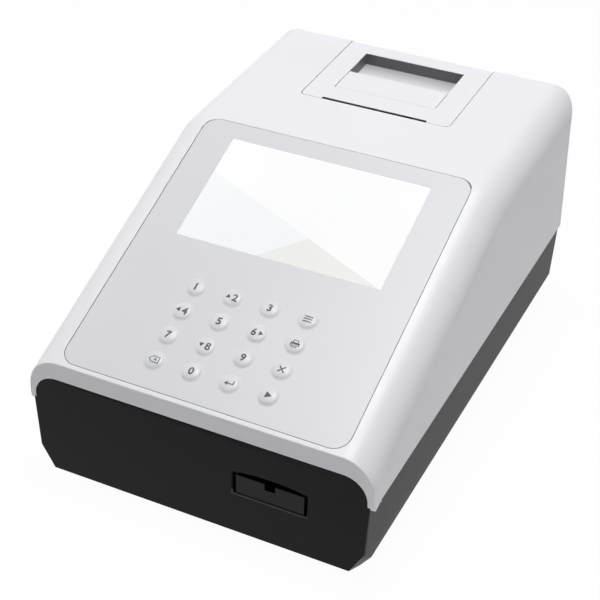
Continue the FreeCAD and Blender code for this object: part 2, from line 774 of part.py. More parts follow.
def opticsHousing():
    top = guideTop + readerHeight
    solid = readerBox(0, guideTop, top)
    cavity = readerBox(readerWall, guideTop + readerWall, top + overrun)
    middle = Vector(trayMiddle, frontY + readerPlace + readerLength / 2, 0)
    aperture = plate(middle, apertureWidth, apertureLength, readerWall / 2, guideTop - overrun,
                     guideTop + readerWall + overrun)
    seat = rod(lensRadius + 2 * readerWall, up(middle, guideTop + readerWall),
               up(middle, guideTop + 2 * readerWall))
    seat = seat.cut(plate(middle, apertureWidth - readerWall, apertureLength - 2 * readerWall, readerWall / 2,
                          guideTop, guideTop + 3 * readerWall))
    return joined([without(solid, [cavity, aperture]), seat])


def sensorLens():
    middle = Vector(trayMiddle, frontY + readerPlace + readerLength / 2, 0)
    low = guideTop + 2 * readerWall
    return placed(capOf(lensRadius + readerWall / 2, lensThick), Placement(up(middle, low), Rotation()))


def ledBoard():
    top = guideTop + readerHeight
    board = readerBox(0, top, top + ledBoardThick)
    middle = Vector(trayMiddle, frontY + readerPlace + readerLength / 2, 0)
    lamps = []
    for index in range(4):
        angle = pi / 4 + index * pi / 2
        place = middle + Vector(cos(angle), sin(angle), 0) * 2 * lensRadius
        lamps.append(rod(ledRadius, up(place, top - ledHeight), up(place, top)))
    return joined([board] + lamps)


def homeSensor():
    # Slotted sensor standing on the guide's floor behind the tray
    end = guideFront + guideLength - guideWall
    x = trayMiddle
    low = Vector(x - sensorWidth, end - sensorReach, guideFloorTop)
    high = Vector(x + sensorWidth, end - sensorReach + sensorLength, guideFloorTop + sensorHeight)
    slot = box(Vector(x - sensorSlot / 2, low.y - overrun, guideFloorTop + sensorSlot),
               Vector(x + sensorSlot / 2, high.y + overrun, high.z + overrun))
    return box(low, high).cut(slot)


# Main board, rear connectors and power switch

boardThick = 1.6
boardLength = 141.0
boardSideInset = 22.7    # from the cover's side and rear planes, and from the tray's guide, to the board
boardRearInset = 18.0
boardGuideGap = 10.6
boardPostRadius = 3.2
boardPostInset = 4.5
boardScrewInset = 13.5   # rear screws, clear of the ports
boardScrewRadius = 1.2
boardScrewLength = 7.0
boardHeadRadius = 2.6
boardHeadHeight = 1.6
portGap = 0.3
portSink = 0.6           # connector faces behind the base's rear face
jackInset = 14.0         # from the board's left edge to the middles of the jack and the two ports
serialInset = 41.0
usbInset = 68.0
jackWidth = 9.0
jackHeight = 11.0
jackDepth = 14.0
jackBoreRadius = 2.8
jackPinRadius = 1.0
jackBoreDepth = 9.0
serialWidth = 31.0
serialHeight = 12.5
serialThick = 4.0
serialShellWidth = 17.0
serialShellHeight = 8.4
serialShellWall = 0.5
serialLead = 7.0
usbWidth = 12.0
usbHeight = 10.9
usbDepth = 16.0
usbSocketWidth = 8.4
usbSocketHeight = 7.7
usbTongueWidth = 5.6
usbTongueHeight = 3.2
switchInset = 40.7       # from the cover's right side to the switch
switchWidth = 21.0
switchHeight = 15.0
switchFlange = 1.2
switchDepth = 15.0
switchWall = 1.5
rockerRadius = 7.8
rockerHeight = 9.6
rockerGap = 0.25
rockerAngle = 14.0
rockerPinRadius = 1.2
rockerPinGap = 0.05
rockerBack = 2.0
boardTop = footHeight + heelRound
boardZ = boardTop - boardThick
portFaceY = rearY - rearStep - portSink
boardRear = rearY - boardRearInset
boardFront = boardRear - boardLength
boardLeft = boardSideInset - coverWidth / 2
boardWidth = trayMiddle - guideHalf - guideWall - boardGuideGap - boardLeft
jackPlaceX = boardLeft + jackInset
serialPlaceX = boardLeft + serialInset
usbPlaceX = boardLeft + usbInset
switchPlaceX = coverWidth / 2 - switchInset
switchZ = footHeight + heelRound + switchHeight / 2 + seamGap
switchFaceY = rearY - rearStep
switchPivot = Vector(switchPlaceX, switchFaceY - rockerBack, switchZ)


def boardPlaces():
    left = boardLeft + boardPostInset
    right = boardLeft + boardWidth - boardPostInset
    rear = boardRear - boardScrewInset
    return [(x, y) for x in (left, right) for y in (boardFront + boardPostInset, rear)]


def mainBoard():
    board = box(Vector(boardLeft, boardFront, boardZ), Vector(boardLeft + boardWidth, boardRear, boardTop))
    holes = [bore(boardScrewRadius + portGap, Vector(x, y, boardZ), Vector(x, y, boardTop))
             for x, y in boardPlaces()]
    return joined([without(board, holes)] + boardChips())


def boardChips():
    # Larger components, by shares of the board's width and length and of its thickness
    chipShares = ((0.30, 0.40, 0.22, 0.11, 1.0), (0.66, 0.42, 0.14, 0.07, 0.8), (0.24, 0.70, 0.16, 0.06, 2.0),
                  (0.72, 0.68, 0.10, 0.10, 3.0), (0.50, 0.12, 0.40, 0.04, 2.0))
    chips = []
    for across, along, wide, deep, thick in chipShares:
        x = boardLeft + across * boardWidth
        y = boardFront + along * boardLength
        halfX = wide * boardWidth / 2
        halfY = deep * boardLength / 2
        chips.append(box(Vector(x - halfX, y - halfY, boardTop),
                         Vector(x + halfX, y + halfY, boardTop + thick * boardThick)))
    return chips


def portCuts():
    # Through the rear wall: for each connector and the switch its middle, half width and half height
    switchHalf = Vector(switchWidth / 2 - switchWall, 0, switchHeight / 2 - switchWall)
    places = [(Vector(jackPlaceX, 0, boardTop + jackHeight / 2), Vector(jackWidth / 2, 0, jackHeight / 2)),
              (Vector(serialPlaceX, 0, boardTop + serialHeight / 2),
               Vector(serialShellWidth / 2, 0, serialShellHeight / 2)),
              (Vector(usbPlaceX, 0, boardTop + usbHeight / 2), Vector(usbWidth / 2, 0, usbHeight / 2)),
              (Vector(switchPlaceX, 0, switchZ), switchHalf)]
    inside = Vector(-portGap, rearY - rearStep - baseWall - overrun, -portGap)
    outside = Vector(portGap, rearY, portGap)
    return [box(middle - half + inside, middle + half + outside) for middle, half in places]


def powerJack():
    body = box(Vector(jackPlaceX - jackWidth / 2, portFaceY - jackDepth, boardTop),
               Vector(jackPlaceX + jackWidth / 2, portFaceY, boardTop + jackHeight))
    centre = Vector(jackPlaceX, portFaceY, boardTop + jackHeight / 2)
    inward = Vector(0, -jackBoreDepth, 0)
    hole = rod(jackBoreRadius, centre + inward, centre + Vector(0, overrun, 0))
    pin = rod(jackPinRadius, centre + inward, centre - Vector(0, overrun, 0))
    return joined([body.cut(hole), pin])


def serialPort():
    wallInside = rearY - rearStep - baseWall
    middleZ = boardTop + serialHeight / 2
    flange = box(Vector(serialPlaceX - serialWidth / 2, wallInside - serialThick, boardTop),
                 Vector(serialPlaceX + serialWidth / 2, wallInside, boardTop + serialHeight))
    lead = box(Vector(serialPlaceX - serialShellWidth / 2, wallInside - serialThick - serialLead, boardTop),
               Vector(serialPlaceX + serialShellWidth / 2, wallInside - serialThick, boardTop + serialHeight))
    shell = serialShell(0, wallInside, portFaceY, middleZ)
    hollow = serialShell(-serialShellWall, wallInside + portSink, portFaceY + overrun, middleZ)
    return joined([flange, lead, shell.cut(hollow)])


def serialShell(growth, startY, endY, middleZ):
    # Tapered D-shaped shell
    half = serialShellWidth / 2 + growth
    high = serialShellHeight / 2 + growth
    slant = serialShellHeight / 8
    corners = [Vector(serialPlaceX - half, startY, middleZ + high),
               Vector(serialPlaceX + half, startY, middleZ + high),
               Vector(serialPlaceX + half - slant, startY, middleZ - high),
               Vector(serialPlaceX - half + slant, startY, middleZ - high)]
    return prism(corners, [slant] * 4, Vector(0, endY - startY, 0))


def usbPort():
    body = box(Vector(usbPlaceX - usbWidth / 2, portFaceY - usbDepth, boardTop),
               Vector(usbPlaceX + usbWidth / 2, portFaceY, boardTop + usbHeight))
    middle = Vector(usbPlaceX, 0, boardTop + usbHeight / 2)
    socket = box(middle + Vector(-usbSocketWidth / 2, portFaceY - jackBoreDepth, -usbSocketHeight / 2),
                 middle + Vector(usbSocketWidth / 2, portFaceY + overrun, usbSocketHeight / 2))
    tongue = box(middle + Vector(-usbTongueWidth / 2, portFaceY - jackBoreDepth, -usbTongueHeight / 2),
                 middle + Vector(usbTongueWidth / 2, portFaceY - overrun, usbTongueHeight / 2))
    return joined([body.cut(socket), tongue])


def switchBody():
    half = switchWidth / 2
    high = switchHeight / 2
    flange = box(Vector(switchPlaceX - half, switchFaceY, switchZ - high),
                 Vector(switchPlaceX + half, switchFaceY + switchFlange, switchZ + high))
    wide = half - switchWall
    inner = box(Vector(switchPlaceX - wide, switchFaceY - switchDepth, switchZ - high + switchWall),
                Vector(switchPlaceX + wide, switchFaceY, switchZ + high - switchWall))
    rise = Vector(0, 0, rockerHeight / 2 + rockerGap)
    cavity = rod(rockerRadius + rockerGap, switchPivot - rise, switchPivot + rise)
    mouth = box(switchPivot + Vector(-rockerRadius - rockerGap, 0, 0) - rise,
                switchPivot + Vector(rockerRadius + rockerGap, rockerBack + switchFlange + overrun, 0) + rise)
    pin = rise + Vector(0, 0, overrun)
    holes = rod(rockerPinRadius + rockerPinGap, switchPivot - pin, switchPivot + pin)
    return without(joined([flange, inner]), [cavity, mouth, holes])


def powerRocker():
    rise = Vector(0, 0, rockerHeight / 2)
    barrel = rod(rockerRadius, switchPivot - rise, switchPivot + rise)
    reach = rockerRadius + overrun
    front = rockerBack + switchFlange - rockerRadius * sin(radians(rockerAngle))
    high = front + reach * tan(radians(rockerAngle / 2))
    # Two faces meet over the pivot, and the cap is turned so that one end is pressed in and the other flush
    corners = [Vector(-reach, -rockerBack, 0), Vector(reach, -rockerBack, 0), Vector(reach, high, 0),
               Vector(0, front, 0), Vector(-reach, high, 0)]
    cap = Part.Face(Part.makePolygon(corners + corners[:1])).extrude(2 * rise)
    cap = placed(cap, Placement(switchPivot - rise, Rotation(Vector(0, 0, 1), rockerAngle / 2)))
    pin = rise + Vector(0, 0, overrun - rockerPinGap)
    return joined([barrel.common(cap), rod(rockerPinRadius, switchPivot - pin, switchPivot + pin)])


def boardScrews():
    down = Vector(0, 0, -1)
    screws = [screw(Vector(x, y, boardTop), down, boardScrewLength, boardScrewRadius, boardHeadRadius,
                    boardHeadHeight) for x, y in boardPlaces()]
    under = keyboardTop - keyboardThick
    for place in keyboardPlaces():
        fixing = screw(up(place, under), Vector(0, 0, 1), keyboardThick + coverWall, boardScrewRadius,
                       boardHeadRadius, boardHeadHeight)
        screws.append(placed(fixing, slopeFrame))
    for place in printerPlaces():
        fixing = screw(up(place, printerFlangeLow), Vector(0, 0, 1), boardScrewLength, boardScrewRadius,
                       boardHeadRadius, boardHeadHeight)
        screws.append(placed(fixing, topFrame))
    return Part.makeCompound(screws)


# Printer lid, in the top's frame: X across, Y along the top from the bend, Z out of the surface

lidThick = 2.2
lidCorner = 3.0
lidSkirt = 2.0
lidSkirtDepth = 7.5
barrelRadius = 3.5
hingePinRadius = 1.25
hingePinGap = 0.05
hingeBossWidth = 5.0
pocketWall = 1.8
paperSlot = 1.0
cheekThick = 2.0
cheekGap = 1.2           # from the paper's bucket to a cheek
cheekMargin = 2.2
bushRadius = 3.4
leverThick = 1.8
leverReach = 19.1        # from the pocket's front to the lever's free edge
leverGap = 0.3
leverPinRadius = 0.8
lipDrop = 1.2
slotReach = 2.6          # from the lid's front edge to the platen
pocketClear = 0.7        # from the platen to the pocket's wall
lidDepth = 26.4          # how far down the rounding of the lid's front corners reaches
bucketPlace = topLength - rollRearInset
platenPlace = bucketPlace - platenReach
lidStart = platenPlace - platenRadius - slotReach
pocketStart = platenPlace + platenRadius + pocketClear + pocketWall
pocketEnd = topLength - pocketRearInset
leverEnd = pocketStart + leverReach
hingeY = topLength - barrelRadius
hingeZ = -barrelRadius
leverY = pocketStart + leverGap + leverThick
leverZ = -leverThick


def lidCuts():
    # Opening for the lid, through to the rear, and the pin's holes
    middle = Vector(0, (lidStart + topLength + coverRound) / 2, 0)
    length = topLength + coverRound - lidStart
    opening = plate(middle, lidWidth, length, lidCorner, -2 * barrelRadius - lidGap, coverRound)
    reach = lidWidth / 2 + hingeBossWidth
    pin = rod(hingePinRadius + hingePinGap, Vector(-reach, hingeY, hingeZ), Vector(reach, hingeY, hingeZ))
    holes = [rod(boardScrewRadius, up(place, printerFlangeTop - overrun), up(place, -coverWall))
             for place in printerPlaces()]
    return [opening, pin] + holes


def hingeBosses():
    depth = 2 * barrelRadius + lidGap
    bosses = []
    for side in (-1, 1):
        near = side * (lidWidth / 2 - overrun)
        far = side * (lidWidth / 2 + hingeBossWidth)
        bosses.append(box(Vector(min(near, far), hingeY - barrelRadius, -depth),
                          Vector(max(near, far), topLength + overrun, 0)))
    return bosses


def lidHingePin():
    reach = lidWidth / 2 + hingeBossWidth - hingePinGap
    pin = rod(hingePinRadius, Vector(-reach, hingeY, hingeZ), Vector(reach, hingeY, hingeZ))
    return placed(pin, topFrame)


def printerLid():
    half = lidWidth / 2 - lidGap
    start = lidStart + lidGap
    middle = Vector(0, (start + hingeY) / 2, 0)
    skin = plate(middle, 2 * half, hingeY - start, 0, -lidThick, 0)
    frontRound = plate(Vector(0, (start + topLength) / 2, 0), 2 * half, topLength - start, lidCorner,
                       -lidDepth, overrun)
    barrel = rod(barrelRadius, Vector(-half, hingeY, hingeZ), Vector(half, hingeY, hingeZ))
    web = box(Vector(-half, hingeY - barrelRadius, -barrelRadius), Vector(half, hingeY, 0))
    pocket = box(Vector(-pocketWidth / 2 - pocketWall, pocketStart - pocketWall, -pocketDepth - pocketWall),
                 Vector(pocketWidth / 2 + pocketWall, pocketEnd + pocketWall, 0))
    pieces = [skin, web, pocket]
    for side in (-1, 1):
        inner = side * (half - lidSkirt)
        outer = side * half
        pieces.append(box(Vector(min(inner, outer), start + lidCorner, -lidSkirtDepth),
                          Vector(max(inner, outer), hingeY - barrelRadius - lidSkirtDepth, 0)))
        cheek = min(side * cheekInside, side * (cheekInside + cheekThick))
        bottom = -platenDepth - bushRadius - cheekMargin
        reach = bushRadius + cheekMargin
        profile = [Vector(cheek, platenPlace - reach, 0), Vector(cheek, platenPlace + reach, 0),
                   Vector(cheek, platenPlace + reach, bottom), Vector(cheek, platenPlace - reach, bottom)]
        pieces.append(prism(profile, [0, 0, cheekMargin, cheekMargin], Vector(cheekThick, 0, 0)))
    solid = joined(pieces).common(frontRound)
    solid = joined([solid, barrel])
    well = box(Vector(-pocketWidth / 2, pocketStart, -pocketDepth),
               Vector(pocketWidth / 2, pocketEnd, overrun))
    mouth = box(Vector(-paperWidth / 2 - paperSlot, start - overrun, -lidThick - overrun),
                Vector(paperWidth / 2 + paperSlot, start + paperSlot, overrun))
    platenHole = bore(bushRadius, platenPoint(-cheekInside - cheekThick),
                      platenPoint(cheekInside + cheekThick))
    pin = bore(hingePinRadius + hingePinGap, Vector(-half, hingeY, hingeZ), Vector(half, hingeY, hingeZ))
    reach = pocketWidth / 2 + pocketWall
    leverPinHole = rod(leverPinRadius, Vector(-reach, leverY, leverZ), Vector(reach, leverY, leverZ))
    return placed(without(solid, [well, mouth, platenHole, pin, leverPinHole]), topFrame)


def lidLever():
    # Flush finger tab hinged at its front edge, with a small lip under its free edge
    half = pocketWidth / 2 - leverGap
    tab = box(Vector(-half, leverY, -leverThick), Vector(half, leverEnd, 0))
    lip = box(Vector(-half, leverEnd - leverThick, -leverThick - lipDrop), Vector(half, leverEnd, 0))
    barrel = rod(leverThick, Vector(-half, leverY, leverZ), Vector(half, leverY, leverZ))
    hole = bore(leverPinRadius + hingePinGap, Vector(-half, leverY, leverZ), Vector(half, leverY, leverZ))
    return placed(joined([tab, lip, barrel]).cut(hole), topFrame)


def leverPin():
    reach = pocketWidth / 2 + pocketWall
    pin = rod(leverPinRadius, Vector(-reach, leverY, leverZ), Vector(reach, leverY, leverZ))
    return placed(pin, topFrame)


# Printer: bucket frame, thermal head, platen, gears, motor and paper

bucketGap = 1.5
bucketWall = 2.0
bucketDepth = 33.0
rollGap = 0.3
coreOuter = 6.3
coreInner = 5.2
headGap = 0.12
headThick = 1.2
headWidth = 60.0
headLength = 14.0
headPlateThick = 2.4
springThick = 0.4
springRise = 1.6
springWidth = 8.0
springLength = 40.0
printerFlangeThick = 2.0
printerFlangeDepth = 12.0
flangePlaceX = 47.0
flangeRearReach = 17.0   # from the paper's axis to the rear screws
flangeFrontPlaceX = 20.0
flangeFrontReach = 14.3  # from the platen's axis to the front screws and the front wall
frontWallReach = 9.4
flangeReach = 4.0
shaftRadius = 2.0
shaftGap = 0.04
gearGap = 0.6
gearBacklash = 0.12
idlerPinRadius = 1.5
sidePlateThick = 2.0
printMotorRadius = 9.5
printMotorLength = 16.0
gearBore = 1.0
bucketHalf = paperWidth / 2 + bucketGap / 2
cheekInside = bucketHalf + bucketWall + cheekGap / 2
gearStart = cheekInside + cheekThick + gearGap
sidePlateX = gearStart + gearWidth + gearGap
bucketRadius = paperRadius + bucketGap
headTop = -platenDepth - platenRadius - headGap
headLow = headTop - headThick - headPlateThick
deckTop = headLow - springRise - springThick
printerFlangeTop = -printerFlangeDepth
printerFlangeLow = -printerFlangeDepth - printerFlangeThick
idlerDepth = platenDepth + gearModule * (platenTeeth + idlerTeeth) / 2
motorDistance = gearModule * (idlerTeeth + motorTeeth) / 2
motorPlace = platenPlace + motorDistance
flangeRearPlace = bucketPlace + flangeRearReach
flangeFrontPlace = platenPlace - flangeFrontReach
frontWallPlace = platenPlace - frontWallReach


def platenPoint(x):
    return Vector(x, platenPlace, -platenDepth)


def printerPlaces():
    rear = [Vector(side * flangePlaceX, flangeRearPlace, 0) for side in (-1, 1)]
    front = [Vector(side * flangeFrontPlaceX, flangeFrontPlace, 0) for side in (-1, 1)]
    return rear + front


def printerBosses():
    return [rod(bossRadius, up(place, printerFlangeTop), up(place, 0)) for place in printerPlaces()]


def printerFrame():
    outer = bucketRadius + bucketWall
    half = bucketHalf + bucketWall
    tub = rod(outer, Vector(-half, bucketPlace, -bucketDepth), Vector(half, bucketPlace, -bucketDepth))
    room = rod(bucketRadius, Vector(-bucketHalf, bucketPlace, -bucketDepth),
               Vector(bucketHalf, bucketPlace, -bucketDepth))
    above = box(Vector(-half - overrun, 0, printerFlangeTop), Vector(half + overrun, topLength, 0))
    platenRoom = box(Vector(-half - overrun, 0, deckTop),
                     Vector(half + overrun, platenPlace + headLength, 0))
    tub = without(tub, [room, above, platenRoom])
    deck = box(Vector(-half, frontWallPlace, deckTop - bucketWall),
               Vector(half, platenPlace + headLength / 2, deckTop))
    deck = deck.cut(room)
    wall = box(Vector(-half, frontWallPlace, deckTop - bucketWall),
               Vector(half, frontWallPlace + bucketWall, printerFlangeTop))
    pieces = [tub, deck, wall]
    reach = flangeFrontPlaceX + flangeReach
    pieces.append(box(Vector(-reach, flangeFrontPlace - flangeReach, printerFlangeLow),
                      Vector(reach, frontWallPlace + bucketWall, printerFlangeTop)))
    for side in (-1, 1):
        near = side * (half - bucketWall)
        far = side * (flangePlaceX + flangeReach)
        pieces.append(box(Vector(min(near, far), flangeRearPlace - flangeReach, printerFlangeLow),
                          Vector(max(near, far), flangeRearPlace + flangeReach, printerFlangeTop)))
    low = -idlerDepth - printMotorRadius
    pieces.append(box(Vector(sidePlateX, frontWallPlace, low),
                      Vector(sidePlateX + sidePlateThick, motorPlace + printMotorRadius, printerFlangeLow)))
    pieces.append(box(Vector(half - bucketWall, frontWallPlace, low - bucketWall),
                      Vector(sidePlateX + sidePlateThick, motorPlace + printMotorRadius, low)))
    pieces.append(box(Vector(half - bucketWall, frontWallPlace, low - bucketWall),
                      Vector(half, frontWallPlace + bucketWall + headLength, deckTop)))
    solid = joined(pieces)
    cutters = [bore(boardScrewRadius, up(place, printerFlangeLow), up(place, printerFlangeTop))
               for place in printerPlaces()]
    cutters.append(bore(idlerPinRadius, Vector(sidePlateX, platenPlace, -idlerDepth),
                        Vector(sidePlateX + sidePlateThick, platenPlace, -idlerDepth)))
    cutters.append(bore(2 * shaftRadius, Vector(sidePlateX, motorPlace, -idlerDepth),
                        Vector(sidePlateX + sidePlateThick, motorPlace, -idlerDepth)))
    cutters.append(room)
    return placed(without(solid, cutters), topFrame)


def thermalHead():
    start = platenPlace - headLength / 2
    ceramic = box(Vector(-paperWidth / 2, start + headThick, headTop - headThick),
                  Vector(paperWidth / 2, start + headLength, headTop))
    backing = box(Vector(-headWidth / 2, start, headLow),
                  Vector(headWidth / 2, start + headLength, headTop - headThick))
    return placed(joined([ceramic, backing]), topFrame)


def headSpring():
    # Bowed leaf between the deck and the head
    y = platenPlace - springWidth / 2
    ends = (Vector(-springLength / 2, y, deckTop), Vector(springLength / 2, y, deckTop))
    crown = Vector(0, y, headLow - springThick)
    lower = Part.Arc(ends[0], crown, ends[1]).toShape()
    rise = Vector(0, 0, springThick)
    upper = Part.Arc(ends[1] + rise, crown + rise, ends[0] + rise).toShape()
    right = Part.LineSegment(ends[1], ends[1] + rise).toShape()
    left = Part.LineSegment(ends[0] + rise, ends[0]).toShape()
    leaf = Part.Face(Part.Wire([lower, right, upper, left])).extrude(Vector(0, springWidth, 0))
    return placed(leaf, topFrame)


def crossGear(teeth, place, depth, boreRadius, toothAngle):
    # Gear on an axle along X, with angles counted in the side view from rearward towards upward
    wheel = toothedWheel(teeth, gearModule, 0, gearWidth, boreRadius, toothAngle, gearBacklash)
    turn = Rotation(Vector(0, 1, 0), Vector(0, 0, 1), Vector(1, 0, 0), "ZXY")
    return placed(wheel, topFrame.multiply(Placement(Vector(gearStart, place, -depth), turn)))


def gearPhases():
    # The platen gear's tooth points down into the idler, and the idler meets the motor's pinion at the rear
    idler = 90 + 180 / idlerTeeth
    turned = -idler / (360 / idlerTeeth)
    motor = 180 - (360 / motorTeeth) * (0.5 - turned)
    return -90, idler, motor


def platenShaft():
    return placed(rod(shaftRadius, platenPoint(-cheekInside - cheekThick - gearGap),
                      platenPoint(gearStart + gearWidth + gearGap / 2)), topFrame)


def platenRubber():
    ends = (platenPoint(-paperWidth / 2), platenPoint(paperWidth / 2))
    return placed(rod(platenRadius, *ends).cut(bore(shaftRadius, *ends)), topFrame)


def platenBushes():
    bushes = []
    for start in (-cheekInside - cheekThick, cheekInside):
        ends = (platenPoint(start), platenPoint(start + cheekThick))
        bushes.append(placed(rod(bushRadius, *ends).cut(bore(shaftRadius + shaftGap, *ends)), topFrame))
    return Part.makeCompound(bushes)


def idlerPin():
    start = Vector(gearStart - gearGap / 2, platenPlace, -idlerDepth)
    end = Vector(sidePlateX + sidePlateThick, platenPlace, -idlerDepth)
    return placed(rod(idlerPinRadius, start, end), topFrame)


def printerMotor():
    face = sidePlateX + sidePlateThick
    centre = Vector(face, motorPlace, -idlerDepth)
    can = rod(printMotorRadius, centre, centre + Vector(printMotorLength, 0, 0))
    boss = rod(2 * shaftRadius - gearGap / 2, centre - Vector(sidePlateThick, 0, 0), centre)
    shaft = rod(gearBore, Vector(gearStart, motorPlace, -idlerDepth), centre)
    return placed(joined([can, boss, shaft]), topFrame)


def paperRoll():
    depth = bucketDepth + bucketGap - rollGap
    ends = (Vector(-paperWidth / 2, bucketPlace, -depth), Vector(paperWidth / 2, bucketPlace, -depth))
    return placed(rod(paperRadius, *ends).cut(bore(coreOuter, *ends)), topFrame)


def paperCore():
    depth = bucketDepth + bucketGap - rollGap
    ends = (Vector(-paperWidth / 2, bucketPlace, -depth), Vector(paperWidth / 2, bucketPlace, -depth))
    return placed(rod(coreOuter, *ends).cut(bore(coreInner, *ends)), topFrame)


def allParts():
    platenPhase, idlerPhase, motorPhase = gearPhases()
    parts = {
        "bottom_case": bottomCase(), "top_cover": topCover(), "rubber_feet": rubberFeet(),
        "case_screws": caseScrews(), "board_screws": boardScrews(),
        "panel_overlay": panelOverlay(), "display_window": displayWindow(), "display_module": displayModule(),
        "keypad_board": keyboardBoard(), "dome_switches": domeSwitches(),
        "strip_tray": stripTray(), "tray_insert": trayInsert(), "calibration_pad": calibrationPad(),
        "tray_guide": trayGuide(), "tray_motor": trayMotor(), "tray_pinion": trayPinion(),
        "optics_housing": opticsHousing(), "sensor_lens": sensorLens(), "led_board": ledBoard(),
        "home_sensor": homeSensor(), "main_board": mainBoard(), "power_jack": powerJack(),
        "serial_port": serialPort(), "usb_port": usbPort(), "switch_body": switchBody(),
        "power_rocker": powerRocker(), "printer_lid": printerLid(), "lid_hinge_pin": lidHingePin(),
        "lid_lever": lidLever(), "lever_pin": leverPin(), "printer_frame": printerFrame(),
        "thermal_head": thermalHead(), "head_spring": headSpring(), "platen_shaft": platenShaft(),
        "platen_rubber": platenRubber(), "platen_bushes": platenBushes(),
        "platen_gear": crossGear(platenTeeth, platenPlace, platenDepth, shaftRadius, platenPhase),
        "idler_gear": crossGear(idlerTeeth, platenPlace, idlerDepth, idlerPinRadius + shaftGap, idlerPhase),
        "idler_pin": idlerPin(),
        "motor_pinion": crossGear(motorTeeth, motorPlace, idlerDepth, gearBore + shaftGap, motorPhase),
        "printer_motor": printerMotor(), "paper_roll": paperRoll(), "paper_core": paperCore(),
    }
    for name, place in keyPlaces().items():
        parts[name] = keyCap(place)
    return parts


def main():
    os.makedirs("parts", exist_ok=True)
    for name, shape in allParts().items():
        shape.exportStep(os.path.join("parts", name + ".step"))


if __name__ == "__main__":
    main()
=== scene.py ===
import json
from math import cos, pi, radians, sin, sqrt, tan

import bmesh
import bpy
from mathutils import Matrix, Vector

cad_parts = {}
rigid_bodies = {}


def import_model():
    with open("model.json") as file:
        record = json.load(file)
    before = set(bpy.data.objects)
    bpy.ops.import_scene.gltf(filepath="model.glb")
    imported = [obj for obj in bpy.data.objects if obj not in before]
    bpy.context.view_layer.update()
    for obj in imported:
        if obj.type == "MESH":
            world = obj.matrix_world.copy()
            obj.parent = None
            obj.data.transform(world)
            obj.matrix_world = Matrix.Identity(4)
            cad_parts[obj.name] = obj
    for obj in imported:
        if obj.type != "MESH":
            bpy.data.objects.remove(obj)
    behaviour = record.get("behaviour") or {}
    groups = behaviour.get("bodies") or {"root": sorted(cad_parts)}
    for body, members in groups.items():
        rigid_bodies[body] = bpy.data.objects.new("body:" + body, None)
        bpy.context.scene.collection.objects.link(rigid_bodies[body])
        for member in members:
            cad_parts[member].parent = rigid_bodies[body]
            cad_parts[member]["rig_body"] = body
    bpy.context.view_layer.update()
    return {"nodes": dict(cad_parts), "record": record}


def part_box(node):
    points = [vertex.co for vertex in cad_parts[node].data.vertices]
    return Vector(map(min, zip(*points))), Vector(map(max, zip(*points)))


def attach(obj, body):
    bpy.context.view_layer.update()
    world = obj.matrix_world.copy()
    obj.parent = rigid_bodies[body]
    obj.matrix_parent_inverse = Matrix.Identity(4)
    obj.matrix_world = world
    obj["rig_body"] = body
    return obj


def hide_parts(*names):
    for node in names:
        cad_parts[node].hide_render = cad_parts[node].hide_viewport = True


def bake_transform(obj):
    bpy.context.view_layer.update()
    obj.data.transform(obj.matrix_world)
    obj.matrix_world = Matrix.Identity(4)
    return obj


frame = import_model()
nodes = frame["nodes"]
mm = 0.001

# The slope and the top as planes of their own: X across, Y up the surface, Z out of it
housing = {"slopeFoot": Vector((0, -135.5, 68.6)) * mm, "slope": radians(22.6), "slopeLength": 159.592 * mm,
           "topTilt": radians(3.1), "frontY": -135.5 * mm, "rearY": 135.5 * mm, "side": 88.7 * mm}
slopePlane = Matrix.Translation(housing["slopeFoot"]) @ Matrix.Rotation(housing["slope"], 4, "X")
topPlane = (Matrix.Translation(slopePlane @ Vector((0, housing["slopeLength"], 0)))
            @ Matrix.Rotation(housing["topTilt"], 4, "X"))


# Material helpers. The two ranges are the part of a noise's values that makes a cloud or a stain.

cloudRange = (0.35, 0.65)
stainRange = (0.3, 0.7)


def addNode(tree, kind, inputs=None, **settings):
    made = tree.nodes.new("ShaderNode" + kind)
    for name, value in settings.items():
        setattr(made, name, value)
    for name, value in (inputs or {}).items():
        if isinstance(value, bpy.types.NodeSocket):
            tree.links.new(value, made.inputs[name])
        else:
            made.inputs[name].default_value = value
    return made


def newFinish(name, look):
    finish = bpy.data.materials.new(name)
    finish.use_nodes = True
    tree = finish.node_tree
    shader = tree.nodes["Principled BSDF"]
    shader.inputs["Roughness"].default_value = look["roughness"]
    for socket, value in look.get("sockets", {}).items():
        shader.inputs[socket].default_value = value
    return finish, tree, shader, addNode(tree, "TexCoord").outputs["Object"]


def mixColours(tree, share, first, second):
    # The node's colour sockets are inputs 6 and 7 and output 2
    mix = addNode(tree, "Mix", data_type="RGBA")
    tree.links.new(share, mix.inputs[0])
    for socket, value in ((mix.inputs[6], first), (mix.inputs[7], second)):
        if isinstance(value, bpy.types.NodeSocket):
            tree.links.new(value, socket)
        else:
            socket.default_value = (*value, 1)
    return mix.outputs[2]


def spread(tree, value, low, high, toLow=0.0, toHigh=1.0):
    return addNode(tree, "MapRange", {"Value": value, "From Min": low, "From Max": high,
                                      "To Min": toLow, "To Max": toHigh}).outputs[0]


def noise(tree, where, scale, detail=2.0):
    return addNode(tree, "TexNoise", {"Vector": where, "Scale": scale, "Detail": detail}).outputs[0]


def compute(tree, operation, first, second=0.0):
    return addNode(tree, "Math", {0: first, 1: second}, operation=operation).outputs[0]


def addBump(tree, shader, height, distance):
    bump = addNode(tree, "Bump", {"Height": height, "Distance": distance})
    tree.links.new(bump.outputs[0], shader.inputs["Normal"])


def cloud(tree, where, scale, most=1.0, detail=2.0):
    return spread(tree, noise(tree, where, scale, detail), *cloudRange, 0.0, most)


def addShine(tree, shader, pattern, look):
    # Roughness that follows the pattern
    shine = spread(tree, pattern, *stainRange, look["roughness"] - look["shine"], look["roughness"] + look["shine"])
    tree.links.new(shine, shader.inputs["Roughness"])


